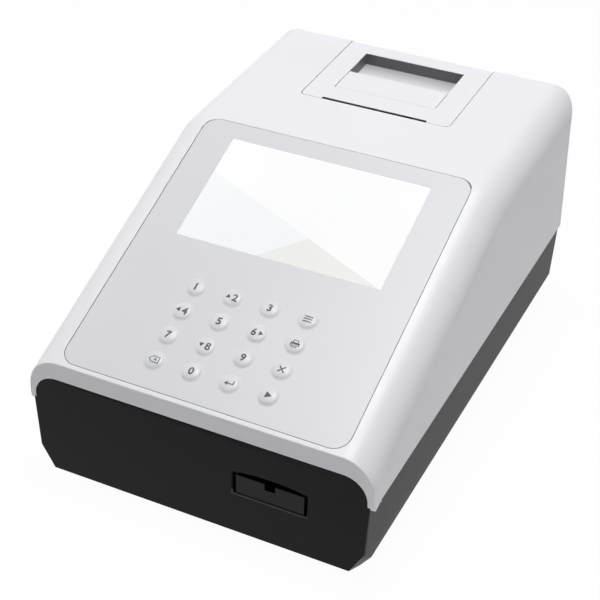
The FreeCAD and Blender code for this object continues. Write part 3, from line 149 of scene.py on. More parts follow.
def plastic(name, look):
    # Spark-eroded grain, a soft cloud in the colour and a slightly uneven shine
    finish, tree, shader, where = newFinish(name, look)
    colour = mixColours(tree, cloud(tree, where, look["cloudScale"]), look["colour"], look["shade"])
    # Painted shade or a painted highlight, where the look has one
    if "paintedLight" in look:
        colour = look["paintedLight"](tree, where, colour)
    tree.links.new(colour, shader.inputs["Base Color"])
    addShine(tree, shader, noise(tree, where, look["patchScale"], 3.0), look)
    addBump(tree, shader, noise(tree, where, look["grainScale"]), look["grainDepth"])
    return finish


def metal(name, look):
    # Drawn or brushed metal: fine streaks along one axis, with soft stains
    finish, tree, shader, where = newFinish(name, dict(look, sockets={"Metallic": 1.0}))
    stretched = addNode(tree, "Mapping", {"Vector": where, "Scale": look["streak"]}).outputs[0]
    streaks = noise(tree, stretched, 1.0, 4.0)
    stain = spread(tree, noise(tree, where, look["cloudScale"]), *stainRange)
    tree.links.new(mixColours(tree, stain, look["colour"], look["shade"]), shader.inputs["Base Color"])
    addShine(tree, shader, streaks, look)
    addBump(tree, shader, streaks, look["streakDepth"])
    return finish


# Painted shade of gaps, edges and hollows, and a painted highlight on one edge, by the place and the direction of
# the surface

def inPlane(tree, where, place, tilt):
    # Coordinates in the slope's or the top's own plane
    local = addNode(tree, "Mapping", {"Vector": where, "Location": place, "Rotation": (tilt, 0, 0)},
                    vector_type="TEXTURE").outputs[0]
    return addNode(tree, "SeparateXYZ", {"Vector": local}).outputs


def facing(tree, tilt=0.0):
    # The surface's direction, seen in the same plane
    normal = addNode(tree, "TexCoord").outputs["Normal"]
    turned = addNode(tree, "VectorRotate", {"Vector": normal, "Angle": -tilt}, rotation_type="X_AXIS").outputs[0]
    return addNode(tree, "SeparateXYZ", {"Vector": turned}).outputs


def allOf(tree, shares):
    share = shares[0]
    for other in shares[1:]:
        share = compute(tree, "MULTIPLY", share, other)
    return share


# Painted shade of the gap round the overlay, laid on the cover as a dark band
recessShade = {"middle": 81.95 * mm, "halfAcross": 72.7 * mm, "halfAlong": 79.35 * mm, "round": 8.0 * mm,
          "gap": 0.34 * mm, "top": -0.06 * mm, "soft": 0.03 * mm, "shade": (0.09, 0.09, 0.095)}


def shadeCoverGap(tree, where, colour):
    # Painted shade: a dark band on the cover round the overlay, where the gap lies in shadow
    axes = inPlane(tree, where, slopePlane.translation, housing["slope"])
    past = []
    spans = ((axes[0], 0.0, recessShade["halfAcross"]), (axes[1], recessShade["middle"], recessShade["halfAlong"]))
    for axis, middle, half in spans:
        off = compute(tree, "ABSOLUTE", compute(tree, "SUBTRACT", axis, middle))
        over = compute(tree, "MAXIMUM", compute(tree, "SUBTRACT", off, half - recessShade["round"]), 0.0)
        past.append(compute(tree, "MULTIPLY", over, over))
    reach = compute(tree, "SQRT", compute(tree, "ADD", past[0], past[1]))
    edge = recessShade["round"] + recessShade["gap"]
    inside = compute(tree, "MULTIPLY", spread(tree, reach, edge + recessShade["soft"], edge - recessShade["soft"]),
                     spread(tree, axes[2], recessShade["top"] + recessShade["soft"], recessShade["top"] - recessShade["soft"]))
    return mixColours(tree, inside, colour, recessShade["shade"])


# Painted shade on the overlay film's cut edge
filmEdgeShade = {"upward": (0.85, 0.6), "shade": (0.16, 0.16, 0.17)}


def shadeFilmEdge(tree, where, colour):
    # Painted shade on the film's cut edge, on the faces that do not face up
    up = facing(tree, housing["slope"])[2]
    return mixColours(tree, spread(tree, up, *filmEdgeShade["upward"]), colour, filmEdgeShade["shade"])


# Painted highlight under the tray's opening; its "shade" entry is the colour of the painted highlight
sillHighlight = {"deep": 1.5 * mm, "low": 25.5 * mm, "high": 29.5 * mm, "soft": 0.1 * mm, "upward": (0.15, 0.4),
        "shade": (0.12, 0.12, 0.12)}


def highlightSill(tree, where, colour):
    # Painted highlight on the upward bevel along the lower edge of the tray's opening
    axes = addNode(tree, "SeparateXYZ", {"Vector": where}).outputs
    deep = housing["frontY"] + sillHighlight["deep"]
    share = allOf(tree, [spread(tree, facing(tree)[2], *sillHighlight["upward"]),
                         spread(tree, axes[1], deep + sillHighlight["soft"], deep),
                         spread(tree, axes[2], sillHighlight["high"], sillHighlight["high"] - sillHighlight["soft"]),
                         spread(tree, axes[2], sillHighlight["low"], sillHighlight["low"] + sillHighlight["soft"])])
    return mixColours(tree, share, colour, sillHighlight["shade"])


# The lid's finger pocket and paper slot; the wall, floor and slot colours are painted shade
pocket = {"half": 29.4 * mm, "front": 58.0 * mm, "middle": 88.0 * mm, "rear": 102.2 * mm, "top": -0.25 * mm,
          "deep": -6.75 * mm, "slotHalf": 29.4 * mm, "slotRear": 46.25 * mm, "soft": 0.1 * mm,
          "upward": (0.5, 0.8), "wall": (0.17, 0.171, 0.182), "frontFloor": (0.78, 0.78, 0.81),
          "rearFloor": (0.38, 0.38, 0.395), "slot": (0.012, 0.012, 0.013)}


def shadeLidPocket(tree, where, colour):
    # Painted shade on the walls and floor of the finger pocket, darker towards its rear, and painted shade at the
    # mouth of the paper slot
    axes = inPlane(tree, where, topPlane.translation, housing["topTilt"])
    up = facing(tree, housing["topTilt"])[2]
    across = compute(tree, "ABSOLUTE", axes[0])
    inside = allOf(tree, [spread(tree, across, pocket["half"] + pocket["soft"], pocket["half"]),
                          spread(tree, axes[1], pocket["front"], pocket["front"] + pocket["soft"]),
                          spread(tree, axes[1], pocket["rear"] + pocket["soft"], pocket["rear"]),
                          spread(tree, axes[2], pocket["top"], pocket["top"] - pocket["soft"]),
                          spread(tree, axes[2], pocket["deep"] - pocket["soft"], pocket["deep"])])
    floor = mixColours(tree, spread(tree, axes[1], pocket["middle"], pocket["rear"]), pocket["frontFloor"],
                       pocket["rearFloor"])
    pocketShade = mixColours(tree, spread(tree, up, *pocket["upward"]), pocket["wall"], floor)
    colour = mixColours(tree, inside, colour, pocketShade)
    slotShade = compute(tree, "MULTIPLY", spread(tree, across, pocket["slotHalf"] + pocket["soft"], pocket["slotHalf"]),
                    spread(tree, axes[1], pocket["slotRear"] + pocket["soft"], pocket["slotRear"]))
    return mixColours(tree, slotShade, colour, pocket["slot"])


# Finishes. Scales are in cells per metre.

coverLook = {"colour": (0.83, 0.83, 0.862), "shade": (0.815, 0.815, 0.85), "roughness": 0.42,
             "cloudScale": 14.0, "patchScale": 160.0, "shine": 0.04, "grainScale": 1500.0,
             "grainDepth": 0.05 * mm}
# The cover, lid and overlay finishes add painted shade, and the base a painted highlight, through a function in
# their look
plastics = {
    "coverPlastic": dict(coverLook, paintedLight=shadeCoverGap),
    "lidPlastic": dict(coverLook, paintedLight=shadeLidPocket),
    "basePlastic": {"colour": (0.0009, 0.0009, 0.00095), "shade": (0.0014, 0.0014, 0.00145), "roughness": 0.45,
                    "cloudScale": 22.0, "patchScale": 900.0, "shine": 0.02, "grainScale": 1400.0,
                    "grainDepth": 0.05 * mm, "sockets": {"Specular IOR Level": 0.14}, "paintedLight": highlightSill},
    "trayPlastic": {"colour": (0.0012, 0.0012, 0.0013), "shade": (0.002, 0.002, 0.0021), "roughness": 0.4,
                    "cloudScale": 40.0, "patchScale": 300.0, "shine": 0.05, "grainScale": 3000.0,
                    "grainDepth": 0.02 * mm, "sockets": {"Specular IOR Level": 0.19}},
    "innerPlastic": {"colour": (0.035, 0.035, 0.038), "shade": (0.047, 0.047, 0.05), "roughness": 0.5,
                     "cloudScale": 35.0, "patchScale": 260.0, "shine": 0.06, "grainScale": 1800.0,
                     "grainDepth": 0.04 * mm},
    "overlayFilm": {"colour": (0.685, 0.688, 0.715), "shade": (0.705, 0.708, 0.735), "roughness": 0.36,
                    "cloudScale": 9.0, "patchScale": 700.0, "shine": 0.03, "grainScale": 5200.0,
                    "grainDepth": 0.01 * mm, "paintedLight": shadeFilmEdge},
    "keyFilm": {"colour": (0.71, 0.713, 0.738), "shade": (0.73, 0.733, 0.758), "roughness": 0.4,
                "cloudScale": 60.0, "patchScale": 700.0, "shine": 0.03, "grainScale": 5200.0,
                "grainDepth": 0.01 * mm},
    "legendInk": {"colour": (0.035, 0.036, 0.042), "shade": (0.050, 0.051, 0.058), "roughness": 0.5,
                  "cloudScale": 900.0, "patchScale": 700.0, "shine": 0.05, "grainScale": 5200.0,
                  "grainDepth": 0.005 * mm},
    "paintWhite": {"colour": (0.70, 0.70, 0.70), "shade": (0.64, 0.64, 0.64), "roughness": 0.5,
                   "cloudScale": 900.0, "patchScale": 700.0, "shine": 0.05, "grainScale": 5200.0,
                   "grainDepth": 0.005 * mm},
    "insertPlastic": {"colour": (0.36, 0.37, 0.39), "shade": (0.39, 0.40, 0.42), "roughness": 0.4,
                      "cloudScale": 50.0, "patchScale": 300.0, "shine": 0.05, "grainScale": 2600.0,
                      "grainDepth": 0.02 * mm},
    "padCeramic": {"colour": (0.90, 0.90, 0.89), "shade": (0.87, 0.87, 0.86), "roughness": 0.7,
                   "cloudScale": 300.0, "patchScale": 900.0, "shine": 0.06, "grainScale": 6000.0,
                   "grainDepth": 0.015 * mm},
    "gearAcetal": {"colour": (0.80, 0.785, 0.73), "shade": (0.76, 0.745, 0.69), "roughness": 0.36,
                   "cloudScale": 120.0, "patchScale": 500.0, "shine": 0.05, "grainScale": 4000.0,
                   "grainDepth": 0.01 * mm, "sockets": {"Subsurface Weight": 0.15, "Subsurface Scale": 0.001}},
    "corePlastic": {"colour": (0.10, 0.10, 0.11), "shade": (0.13, 0.13, 0.14), "roughness": 0.5,
                    "cloudScale": 90.0, "patchScale": 400.0, "shine": 0.06, "grainScale": 2600.0,
                    "grainDepth": 0.02 * mm},
    "footRubber": {"colour": (0.020, 0.020, 0.020), "shade": (0.034, 0.033, 0.032), "roughness": 0.82,
                   "cloudScale": 120.0, "patchScale": 600.0, "shine": 0.08, "grainScale": 2600.0,
                   "grainDepth": 0.06 * mm},
    "platenRubber": {"colour": (0.028, 0.028, 0.030), "shade": (0.040, 0.040, 0.043), "roughness": 0.7,
                     "cloudScale": 160.0, "patchScale": 800.0, "shine": 0.06, "grainScale": 5200.0,
                     "grainDepth": 0.02 * mm},
    "headCeramic": {"colour": (0.62, 0.60, 0.52), "shade": (0.56, 0.54, 0.47), "roughness": 0.3,
                    "cloudScale": 150.0, "patchScale": 500.0, "shine": 0.08, "grainScale": 5000.0,
                    "grainDepth": 0.01 * mm},
    "portPlastic": {"colour": (0.022, 0.022, 0.024), "shade": (0.030, 0.030, 0.032), "roughness": 0.38,
                    "cloudScale": 80.0, "patchScale": 400.0, "shine": 0.05, "grainScale": 3000.0,
                    "grainDepth": 0.02 * mm},
}
metals = {
    "screwZinc": {"colour": (0.40, 0.40, 0.41), "shade": (0.33, 0.33, 0.345), "roughness": 0.38, "shine": 0.08,
                  "cloudScale": 300.0, "streak": (900, 900, 300), "streakDepth": 0.006 * mm},
    "brightSteel": {"colour": (0.62, 0.62, 0.64), "shade": (0.55, 0.55, 0.57), "roughness": 0.24, "shine": 0.07,
                    "cloudScale": 120.0, "streak": (120, 2400, 2400), "streakDepth": 0.004 * mm},
    "motorSteel": {"colour": (0.50, 0.50, 0.52), "shade": (0.43, 0.43, 0.45), "roughness": 0.34, "shine": 0.08,
                   "cloudScale": 70.0, "streak": (300, 300, 2600), "streakDepth": 0.006 * mm},
}
finishes = {name: plastic(name, look) for name, look in plastics.items()}
finishes.update({name: metal(name, look) for name, look in metals.items()})


# Finishes with a pattern of their own

screenLook = {"roughness": 0.08, "middle": 118.8 * mm, "ground": (0.03, 0.03, 0.03), "edge": 0.12 * mm,
              "paper": (0.90, 0.905, 0.905), "fold": (0.85, 0.858, 0.875), "deep": (0.79, 0.79, 0.772),
              "foldLine": (-0.3896, -11.13 * mm), "deepLine": (0.849, -22.99 * mm), "cloudScale": 12.0,
              "cloudShare": 0.04, "grainScale": 900.0, "grainDepth": 0.002 * mm,
              "sockets": {"Emission Strength": 1.0}}


def screenFinish(look):
    # Lit white field with two pale folded facets across its lower right
    finish, tree, shader, where = newFinish("screenLit", look)
    axes = inPlane(tree, where, slopePlane @ Vector((0, look["middle"], 0)), housing["slope"])

    def below(line):
        # Share of the field under the line y = line[0] * x + line[1], with a soft edge
        height = compute(tree, "ADD", compute(tree, "MULTIPLY", axes[0], line[0]), line[1])
        gap = compute(tree, "SUBTRACT", height, axes[1])
        return spread(tree, gap, -look["edge"], look["edge"])

    fold = below(look["foldLine"])
    deep = compute(tree, "MULTIPLY", fold, below(look["deepLine"]))
    colour = mixColours(tree, fold, look["paper"], look["fold"])
    colour = mixColours(tree, deep, colour, look["deep"])
    faint = cloud(tree, where, look["cloudScale"], look["cloudShare"])
    colour = mixColours(tree, faint, colour, look["fold"])
    tree.links.new(mixColours(tree, faint, look["ground"], look["deep"]), shader.inputs["Base Color"])
    tree.links.new(colour, shader.inputs["Emission Color"])
    addBump(tree, shader, noise(tree, where, look["grainScale"]), look["grainDepth"])
    return finish


boardLook = {"roughness": 0.4, "mask": (0.012, 0.085, 0.035), "trace": (0.022, 0.14, 0.06),
             "dark": (0.008, 0.06, 0.026), "pad": (0.55, 0.52, 0.42), "blockScale": 105.0, "darkShare": 0.15,
             "traceScale": 420.0, "traceEdge": (0.55, 0.7), "traceDepth": 0.03 * mm, "turnScale": 70.0,
             "turnEdge": (0.48, 0.52), "bareScale": 45.0, "bareEdge": (0.50, 0.52), "viaScale": 260.0,
             "viaEdge": (0.16, 0.13)}


def boardFinish(look):
    # Green solder mask with raised copper runs in both directions and tinned vias
    finish, tree, shader, where = newFinish("circuitMask", look)
    blocks = addNode(tree, "TexBrick", {"Vector": where, "Scale": look["blockScale"], "Mortar Size": 0.04,
                                        "Color1": (0, 0, 0, 1), "Color2": (1, 1, 1, 1),
                                        "Mortar": (0.5, 0.5, 0.5, 1)}).outputs[0]
    along, across = [addNode(tree, "TexWave", {"Vector": where, "Scale": look["traceScale"]}, wave_type="BANDS",
                             bands_direction=axis).outputs[1] for axis in ("X", "Y")]
    turn = spread(tree, noise(tree, where, look["turnScale"], 0.0), *look["turnEdge"])
    lines = spread(tree, mixColours(tree, turn, along, across), *look["traceEdge"])
    bare = spread(tree, noise(tree, where, look["bareScale"], 0.0), *look["bareEdge"])
    lines = compute(tree, "MULTIPLY", lines, bare)
    vias = addNode(tree, "TexVoronoi", {"Vector": where, "Scale": look["viaScale"]}).outputs[0]
    colour = mixColours(tree, lines, look["mask"], look["trace"])
    colour = mixColours(tree, compute(tree, "MULTIPLY", blocks, look["darkShare"]), colour, look["dark"])
    colour = mixColours(tree, spread(tree, vias, *look["viaEdge"]), colour, look["pad"])
    tree.links.new(colour, shader.inputs["Base Color"])
    addBump(tree, shader, lines, look["traceDepth"])
    return finish


paperLook = {"roughness": 0.62, "colour": (0.87, 0.87, 0.86), "edge": (0.74, 0.74, 0.73),
             "axis": Vector((0, 82.0, -34.2)) * mm, "ringScale": 900.0, "ringEdge": (0.3, 0.8),
             "ringDepth": 0.02 * mm, "endEdge": (0.8, 0.95), "fibreScale": 2200.0, "fibreShare": 0.12}


def paperFinish(look):
    # White thermal paper: faint fibre on the face and fine wound layers on the roll's ends
    finish, tree, shader, where = newFinish("thermalPaper", look)
    local = addNode(tree, "Mapping", {"Vector": where, "Location": topPlane @ look["axis"],
                                      "Rotation": (housing["topTilt"], 0, 0)}, vector_type="TEXTURE").outputs[0]
    rings = addNode(tree, "TexWave", {"Vector": local, "Scale": look["ringScale"], "Distortion": 1.5,
                                      "Detail": 2.0, "Detail Scale": 0.6},
                    wave_type="RINGS", rings_direction="X").outputs[1]
    sideways = compute(tree, "ABSOLUTE", facing(tree)[0])
    ends = compute(tree, "MULTIPLY", spread(tree, rings, *look["ringEdge"]),
                   spread(tree, sideways, *look["endEdge"]))
    fibre = cloud(tree, where, look["fibreScale"], look["fibreShare"], 4.0)
    colour = mixColours(tree, fibre, look["colour"], look["edge"])
    tree.links.new(mixColours(tree, ends, colour, look["edge"]), shader.inputs["Base Color"])
    addBump(tree, shader, ends, look["ringDepth"])
    return finish


lensLook = {"roughness": 0.03, "colour": (0.93, 0.95, 0.97), "shade": (0.90, 0.93, 0.95), "cloudScale": 300.0,
            "patchScale": 900.0, "shine": 0.01, "grainScale": 3000.0, "grainDepth": 0.001 * mm,
            "sockets": {"Transmission Weight": 0.9, "IOR": 1.49}}
finishes.update({"screenLit": screenFinish(screenLook), "circuitMask": boardFinish(boardLook),
                 "thermalPaper": paperFinish(paperLook), "lensClear": plastic("lensClear", lensLook)})

slotFinishes = {"white_plastic": "coverPlastic", "black_plastic": "basePlastic", "foot_rubber": "footRubber",
                "screw_steel": "screwZinc", "panel_film": "overlayFilm", "window_glass": "screenLit",
                "module_black": "innerPlastic", "circuit_board": "circuitMask", "bright_steel": "brightSteel",
                "insert_grey": "insertPlastic", "pad_white": "padCeramic", "inner_plastic": "innerPlastic",
                "motor_steel": "motorSteel", "gear_plastic": "gearAcetal", "lens_clear": "lensClear",
                "head_ceramic": "headCeramic", "platen_rubber": "platenRubber", "thermal_paper": "thermalPaper",
                "core_plastic": "corePlastic", "key_plastic": "keyFilm"}
ownFinishes = {"printer_lid": "lidPlastic", "strip_tray": "trayPlastic", "power_jack": "portPlastic",
               "power_rocker": "portPlastic", "switch_body": "portPlastic"}
slotOf = {part["node"]: part["material_slot"] for part in frame["record"]["subparts"]}
bodyOf = {name: node["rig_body"] for name, node in nodes.items()}


def finishOf(node):
    return finishes[ownFinishes.get(node, slotFinishes[slotOf[node]])]


for name, node in nodes.items():
    node.data.materials.clear()
    node.data.materials.append(finishOf(name))
print("finishes on", len(nodes), "nodes")


# Piece helpers

def addPiece(name, mesh, finish, body, smooth=True):
    # A piece given no body, such as a key's film, stays without one
    bmesh.ops.remove_doubles(mesh, verts=mesh.verts, dist=0.0005 * mm)
    data = bpy.data.meshes.new(name)
    mesh.to_mesh(data)
    mesh.free()
    if smooth:
        data.shade_smooth()
    piece = bpy.data.objects.new(name, data)
    bpy.context.scene.collection.objects.link(piece)
    data.materials.append(finish)
    if body:
        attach(piece, body)
    return piece


def weigh(piece):
    even = piece.modifiers.new("evenFlats", "WEIGHTED_NORMAL")
    even.keep_sharp = True
    even.weight = 100


softening = {"flat": radians(0.4), "sharp": radians(30), "hard": radians(40)}


def roundedCopy(node, look):
    # A node's mesh with its flats made whole and its sharp edges softly rounded
    mesh = bmesh.new()
    mesh.from_mesh(nodes[node].data)
    bmesh.ops.remove_doubles(mesh, verts=mesh.verts, dist=look["merge"])
    bmesh.ops.dissolve_limit(mesh, angle_limit=softening["flat"], verts=mesh.verts, edges=mesh.edges)
    if "reshape" in look:
        look["reshape"](mesh)
    sharp = [edge for edge in mesh.edges if len(edge.link_faces) == 2
             and edge.calc_face_angle(0) > softening["sharp"]]
    bmesh.ops.bevel(mesh, geom=sharp, offset=look["round"], offset_type="OFFSET", segments=look["segments"],
                    profile=0.5, affect="EDGES", material=-1, clamp_overlap=True)
    for edge in mesh.edges:
        edge.smooth = len(edge.link_faces) != 2 or edge.calc_face_angle(0) < softening["hard"]
    piece = addPiece(look["piece"], mesh, finishOf(node), bodyOf[node])
    weigh(piece)
    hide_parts(node)
    return piece


# The skirt's lower edge and its front corner, as the solid has them and as the photograph shows them
skirt = {"solidFront": 41.8 * mm, "solidRise": 8.1 * mm, "solidRound": 5.0 * mm, "front": 42.8 * mm,
         "rise": 7.3 * mm, "round": 11.0 * mm, "lipEdge": 0.75 * mm, "sideFrom": 80.0 * mm, "close": 0.06 * mm}


def alongShare(y):
    return (y - housing["frontY"]) / (housing["rearY"] - housing["frontY"])


def arcHeight(reach, corner):
    # Height over the skirt's line of its rounded front corner, at a distance from the front
    return corner - sqrt(max(0.0, corner ** 2 - (corner - reach) ** 2)) if reach < corner else 0.0


def reshapeSkirt(mesh):
    for vert in mesh.verts:
        share = alongShare(vert.co.y)
        reach = vert.co.y - housing["frontY"]
        over = vert.co.z - skirt["solidFront"] - skirt["solidRise"] * share
        off = abs(over - arcHeight(reach, skirt["solidRound"]))
        if off > skirt["close"] or abs(vert.co.x) < skirt["sideFrom"]:
            continue
        if reach < skirt["solidRound"]:
            grow = (skirt["round"] - skirt["lipEdge"]) / (skirt["solidRound"] - skirt["lipEdge"])
            reach = max(reach, skirt["lipEdge"] + (reach - skirt["lipEdge"]) * grow)
            vert.co.y = housing["frontY"] + reach
        vert.co.z = skirt["front"] + skirt["rise"] * alongShare(vert.co.y) + arcHeight(reach, skirt["round"])


# The tray's face and its opening: as the solid has them, then as the photograph shows them
tray = {"solidFront": -133.3 * mm, "front": -134.6 * mm, "close": 0.05 * mm, "openingPast": 2.0 * mm,
        "openingTop": 37.0 * mm, "openingReach": 42.0 * mm, "raise": 0.25 * mm, "arch": 0.2 * mm,
        "wallRear": -131.0 * mm, "openingLow": 26.65 * mm, "openingDeep": 26.2 * mm, "bevelDrop": 0.5 * mm}


def reshapeTray(mesh):
    # The tray's face stands almost level with the base's front
    for vert in mesh.verts:
        if vert.co.y < tray["solidFront"] + tray["close"]:
            vert.co.y = tray["front"]


def archOpening(mesh):
    # The opening's upper edge stands clear of the tray in a low arch
    low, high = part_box("strip_tray")
    middle, half = (low[0] + high[0]) / 2, (high[0] - low[0]) / 2 + tray["openingPast"]
    for vert in mesh.verts:
        off = abs(vert.co.x - middle) / half
        if off < 1 and vert.co.y < tray["wallRear"] and tray["openingTop"] < vert.co.z < tray["openingReach"]:
            vert.co.z += tray["raise"] + tray["arch"] * (1 - off ** 2)
        if off < 1 and vert.co.y < tray["solidFront"] and tray["openingDeep"] < vert.co.z < tray["openingLow"]:
            vert.co.z -= tray["bevelDrop"]


# The base's outer form: as the solid has it, then as the photograph shows it
base = {"foot": 4.0 * mm, "solidHalf": 85.5 * mm, "solidFront": -134.1 * mm, "rear": 134.1 * mm,
        "solidBevel": (8.0 * mm, 10.4 * mm), "solidRearRound": 6.5 * mm, "skinDepth": 6.6 * mm,
        "skinFrom": 76.2 * mm, "outward": 0.05, "downward": -0.9, "close": 0.01 * mm, "flat": radians(0.1),
        "frontShift": -1.1 * mm, "frontDepth": 1.7 * mm, "rearRound": 3.5 * mm, "step": 1.9 * mm,
        "draft": tan(radians(2.4)), "bevelSlope": tan(radians(41.0)), "bevelFront": 7.2 * mm,
        "bevelRear": 15.1 * mm, "bandFront": 54.8 * mm, "bandRear": 51.3 * mm, "bandEase": 1.0 * mm,
        "facet": (7.0 * mm, 14.0 * mm, 12.5 * mm)}


def baseHalf(z):
    # Half the width between the leaning sides
    return housing["side"] - base["step"] - (skirt["front"] - z) * base["draft"]


def bandTop(y):
    # Height up to which the base's outside is moved
    return base["bandFront"] + (base["bandRear"] - base["bandFront"]) * alongShare(y)


def bevelShare(z):
    # How far up the solid's bevel a height lies, from nought to one
    return min(1.0, max(0.0, (z - base["foot"]) / base["solidBevel"][1]))


def solidSide(z):
    # Half the solid's width at a height
    return base["solidHalf"] - base["solidBevel"][0] * (1 - bevelShare(z))


def moveSide(vert, side):
    # Sides lean in from the skirt and meet a bevel that widens to the rear
    x, y, z = side * vert.co.x, vert.co.y, vert.co.z
    high = base["solidBevel"][1]
    reach = base["bevelFront"] + (base["bevelRear"] - base["bevelFront"]) * alongShare(y)
    footX = housing["side"] - reach
    heel = (baseHalf(base["foot"]) - footX) / (1 / base["bevelSlope"] - base["draft"])
    newX = footX + (baseHalf(base["foot"] + heel) - footX) * bevelShare(z)
    above = z > base["foot"] + high
    if above:
        newX = baseHalf(z)
    else:
        vert.co.z += (heel - high) * bevelShare(z)
    rearward = y - base["rear"] + base["solidRearRound"]
    off = x - solidSide(z)
    if rearward > 0:
        shrink = base["rearRound"] / base["solidRearRound"]
        vert.co.y = base["rear"] - base["rearRound"] + rearward * shrink
        off *= shrink
    elif above:
        off = 0.0
    vert.co.x = side * (newX + off)


def cutPlane(mesh, place, way, outer=False):
    # Cuts along a plane, takes off what lies outside if asked to, and gives the edges of the cut
    cut = bmesh.ops.bisect_plane(mesh, geom=mesh.verts[:] + mesh.edges[:] + mesh.faces[:], dist=0.0001 * mm,
                                 plane_co=place, plane_no=way, clear_outer=outer)["geom_cut"]
    return [item for item in cut if isinstance(item, bmesh.types.BMEdge)]


def reshapeBase(mesh):
    upright = Vector((0, base["bandFront"] - base["bandRear"], housing["rearY"] - housing["frontY"]))
    for extra in (0.0, base["bandEase"]):
        cutPlane(mesh, (0, housing["frontY"], base["bandFront"] + extra), upright)
    mesh.normal_update()
    for vert in mesh.verts[:]:
        side = 1 if vert.co.x > 0 else -1
        x, y, z = abs(vert.co.x), vert.co.y, vert.co.z
        under = vert.normal.z < base["downward"] and z < base["foot"] + base["close"]
        outward = side * vert.normal.x > base["outward"] or under
        inner = max(solidSide(z) - base["skinDepth"], base["skinFrom"])
        if outward and x > inner and z < bandTop(y) + base["close"]:
            moveSide(vert, side)
        if y < base["solidFront"] + base["frontDepth"]:
            vert.co.y += base["frontShift"]
    archOpening(mesh)
    front = base["solidFront"] + base["frontShift"]
    across, deep, tall = base["facet"]
    corner = baseHalf(base["foot"])
    for side in (-1, 1):
        points = [Vector((side * corner, front, base["foot"] + tall)),
                  Vector((side * (corner - across), front, base["foot"])),
                  Vector((side * corner, front + deep, base["foot"]))]
        way = (points[1] - points[0]).cross(points[2] - points[0])
        if way.z > 0:
            way.negate()
        bmesh.ops.edgeloop_fill(mesh, edges=cutPlane(mesh, points[0], way, True))
    bmesh.ops.dissolve_limit(mesh, angle_limit=base["flat"], verts=mesh.verts, edges=mesh.edges)


copies = {
    "top_cover": {"piece": "cover_shell", "merge": 0.02 * mm, "round": 0.15 * mm, "segments": 2,
                  "reshape": reshapeSkirt},
    "bottom_case": {"piece": "base_shell", "merge": 0.02 * mm, "round": 0.3 * mm, "segments": 3,
                    "reshape": reshapeBase},
    "panel_overlay": {"piece": "overlay_sheet", "merge": 0.06 * mm, "round": 0.08 * mm, "segments": 2},
    "printer_lid": {"piece": "lid_shell", "merge": 0.02 * mm, "round": 0.2 * mm, "segments": 3},
    "lid_lever": {"piece": "lever_tab", "merge": 0.02 * mm, "round": 0.2 * mm, "segments": 3},
    "strip_tray": {"piece": "tray_body", "merge": 0.02 * mm, "round": 0.2 * mm, "segments": 3,
                   "reshape": reshapeTray},
    "tray_insert": {"piece": "tray_channel", "merge": 0.02 * mm, "round": 0.2 * mm, "segments": 3},
}
for node, look in copies.items():
    piece = roundedCopy(node, look)
    print("rounded", piece.name, len(piece.data.polygons), "faces")


# Keys: embossed film domes with printed marks, in millimetres of the key's own plane

# The profile goes from the rim inwards, in shares of the radius and of the rise
keys = {"radius": 4.7, "pitchAcross": 19.5, "pitchAlong": 14.4, "topRow": 60.5, "rise": 1.3, "film": -0.05,
        "profileShares": ((1.12, 0.012), (1.08, 0.03), (1.04, 0.07), (1.0, 0.14), (0.96, 0.235), (0.92, 0.34),
                          (0.88, 0.44), (0.83, 0.54), (0.77, 0.63), (0.7, 0.71), (0.6, 0.80), (0.48, 0.88),
                          (0.35, 0.94), (0.22, 0.975), (0.1, 0.995), (0.0, 1.0)),
        "steps": 48, "blend": (0.03, 0.85), "markLift": 0.03, "markCell": 0.35, "markFolds": 5, "signSize": 1.2,
        "digit": 4.0, "stroke": 0.032, "arrow": ((-1.35, -1.0), (1.35, -1.0), (0.0, 1.2)), "arrowShare": 0.62}
keyRows = (("key_1", "key_2", "key_3", "key_menu"), ("key_4", "key_5", "key_6", "key_print"),
           ("key_7", "key_8", "key_9", "key_cancel"), ("key_clear", "key_0", "key_enter", "key_start"))


def domeHeight(distance):
    # Height of the film at a distance from the key's axis
    shares = keys["profileShares"]
    reach = distance / keys["radius"]
    for (outer, low), (inner, high) in zip(shares, shares[1:]):
        if inner <= reach <= outer:
            part = (outer - reach) / (outer - inner)
            return (low + (high - low) * part) * keys["rise"] + keys["film"]
    return keys["film"]


def keyFilm(name, place):
    # Its rim and crown stay on the panel: it is made without a body
    mesh = bmesh.new()
    rim = keys["profileShares"][0][0] * keys["radius"]
    profile = [(rim, keys["film"])] + [(share * keys["radius"], height * keys["rise"] + keys["film"])
                                      for share, height in keys["profileShares"]]
    verts = [mesh.verts.new((reach * mm, 0, height * mm)) for reach, height in profile]
    edges = [mesh.edges.new(pair) for pair in zip(verts, verts[1:])]
    bmesh.ops.spin(mesh, geom=verts + edges, cent=(0, 0, 0), axis=(0, 0, 1), angle=2 * pi, steps=keys["steps"],
                   use_merge=True, use_duplicate=False)
    bmesh.ops.remove_doubles(mesh, verts=mesh.verts, dist=0.001 * mm)
    rimEdges = [edge for edge in mesh.edges if len(edge.link_faces) == 1]
    bmesh.ops.contextual_create(mesh, geom=rimEdges)
    bmesh.ops.recalc_face_normals(mesh, faces=mesh.faces)
    bmesh.ops.transform(mesh, matrix=slopePlane @ Matrix.Translation(place), verts=mesh.verts)
    piece = addPiece(name + "_film", mesh, finishes["keyFilm"], None)
    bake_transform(piece)
    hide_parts(name)


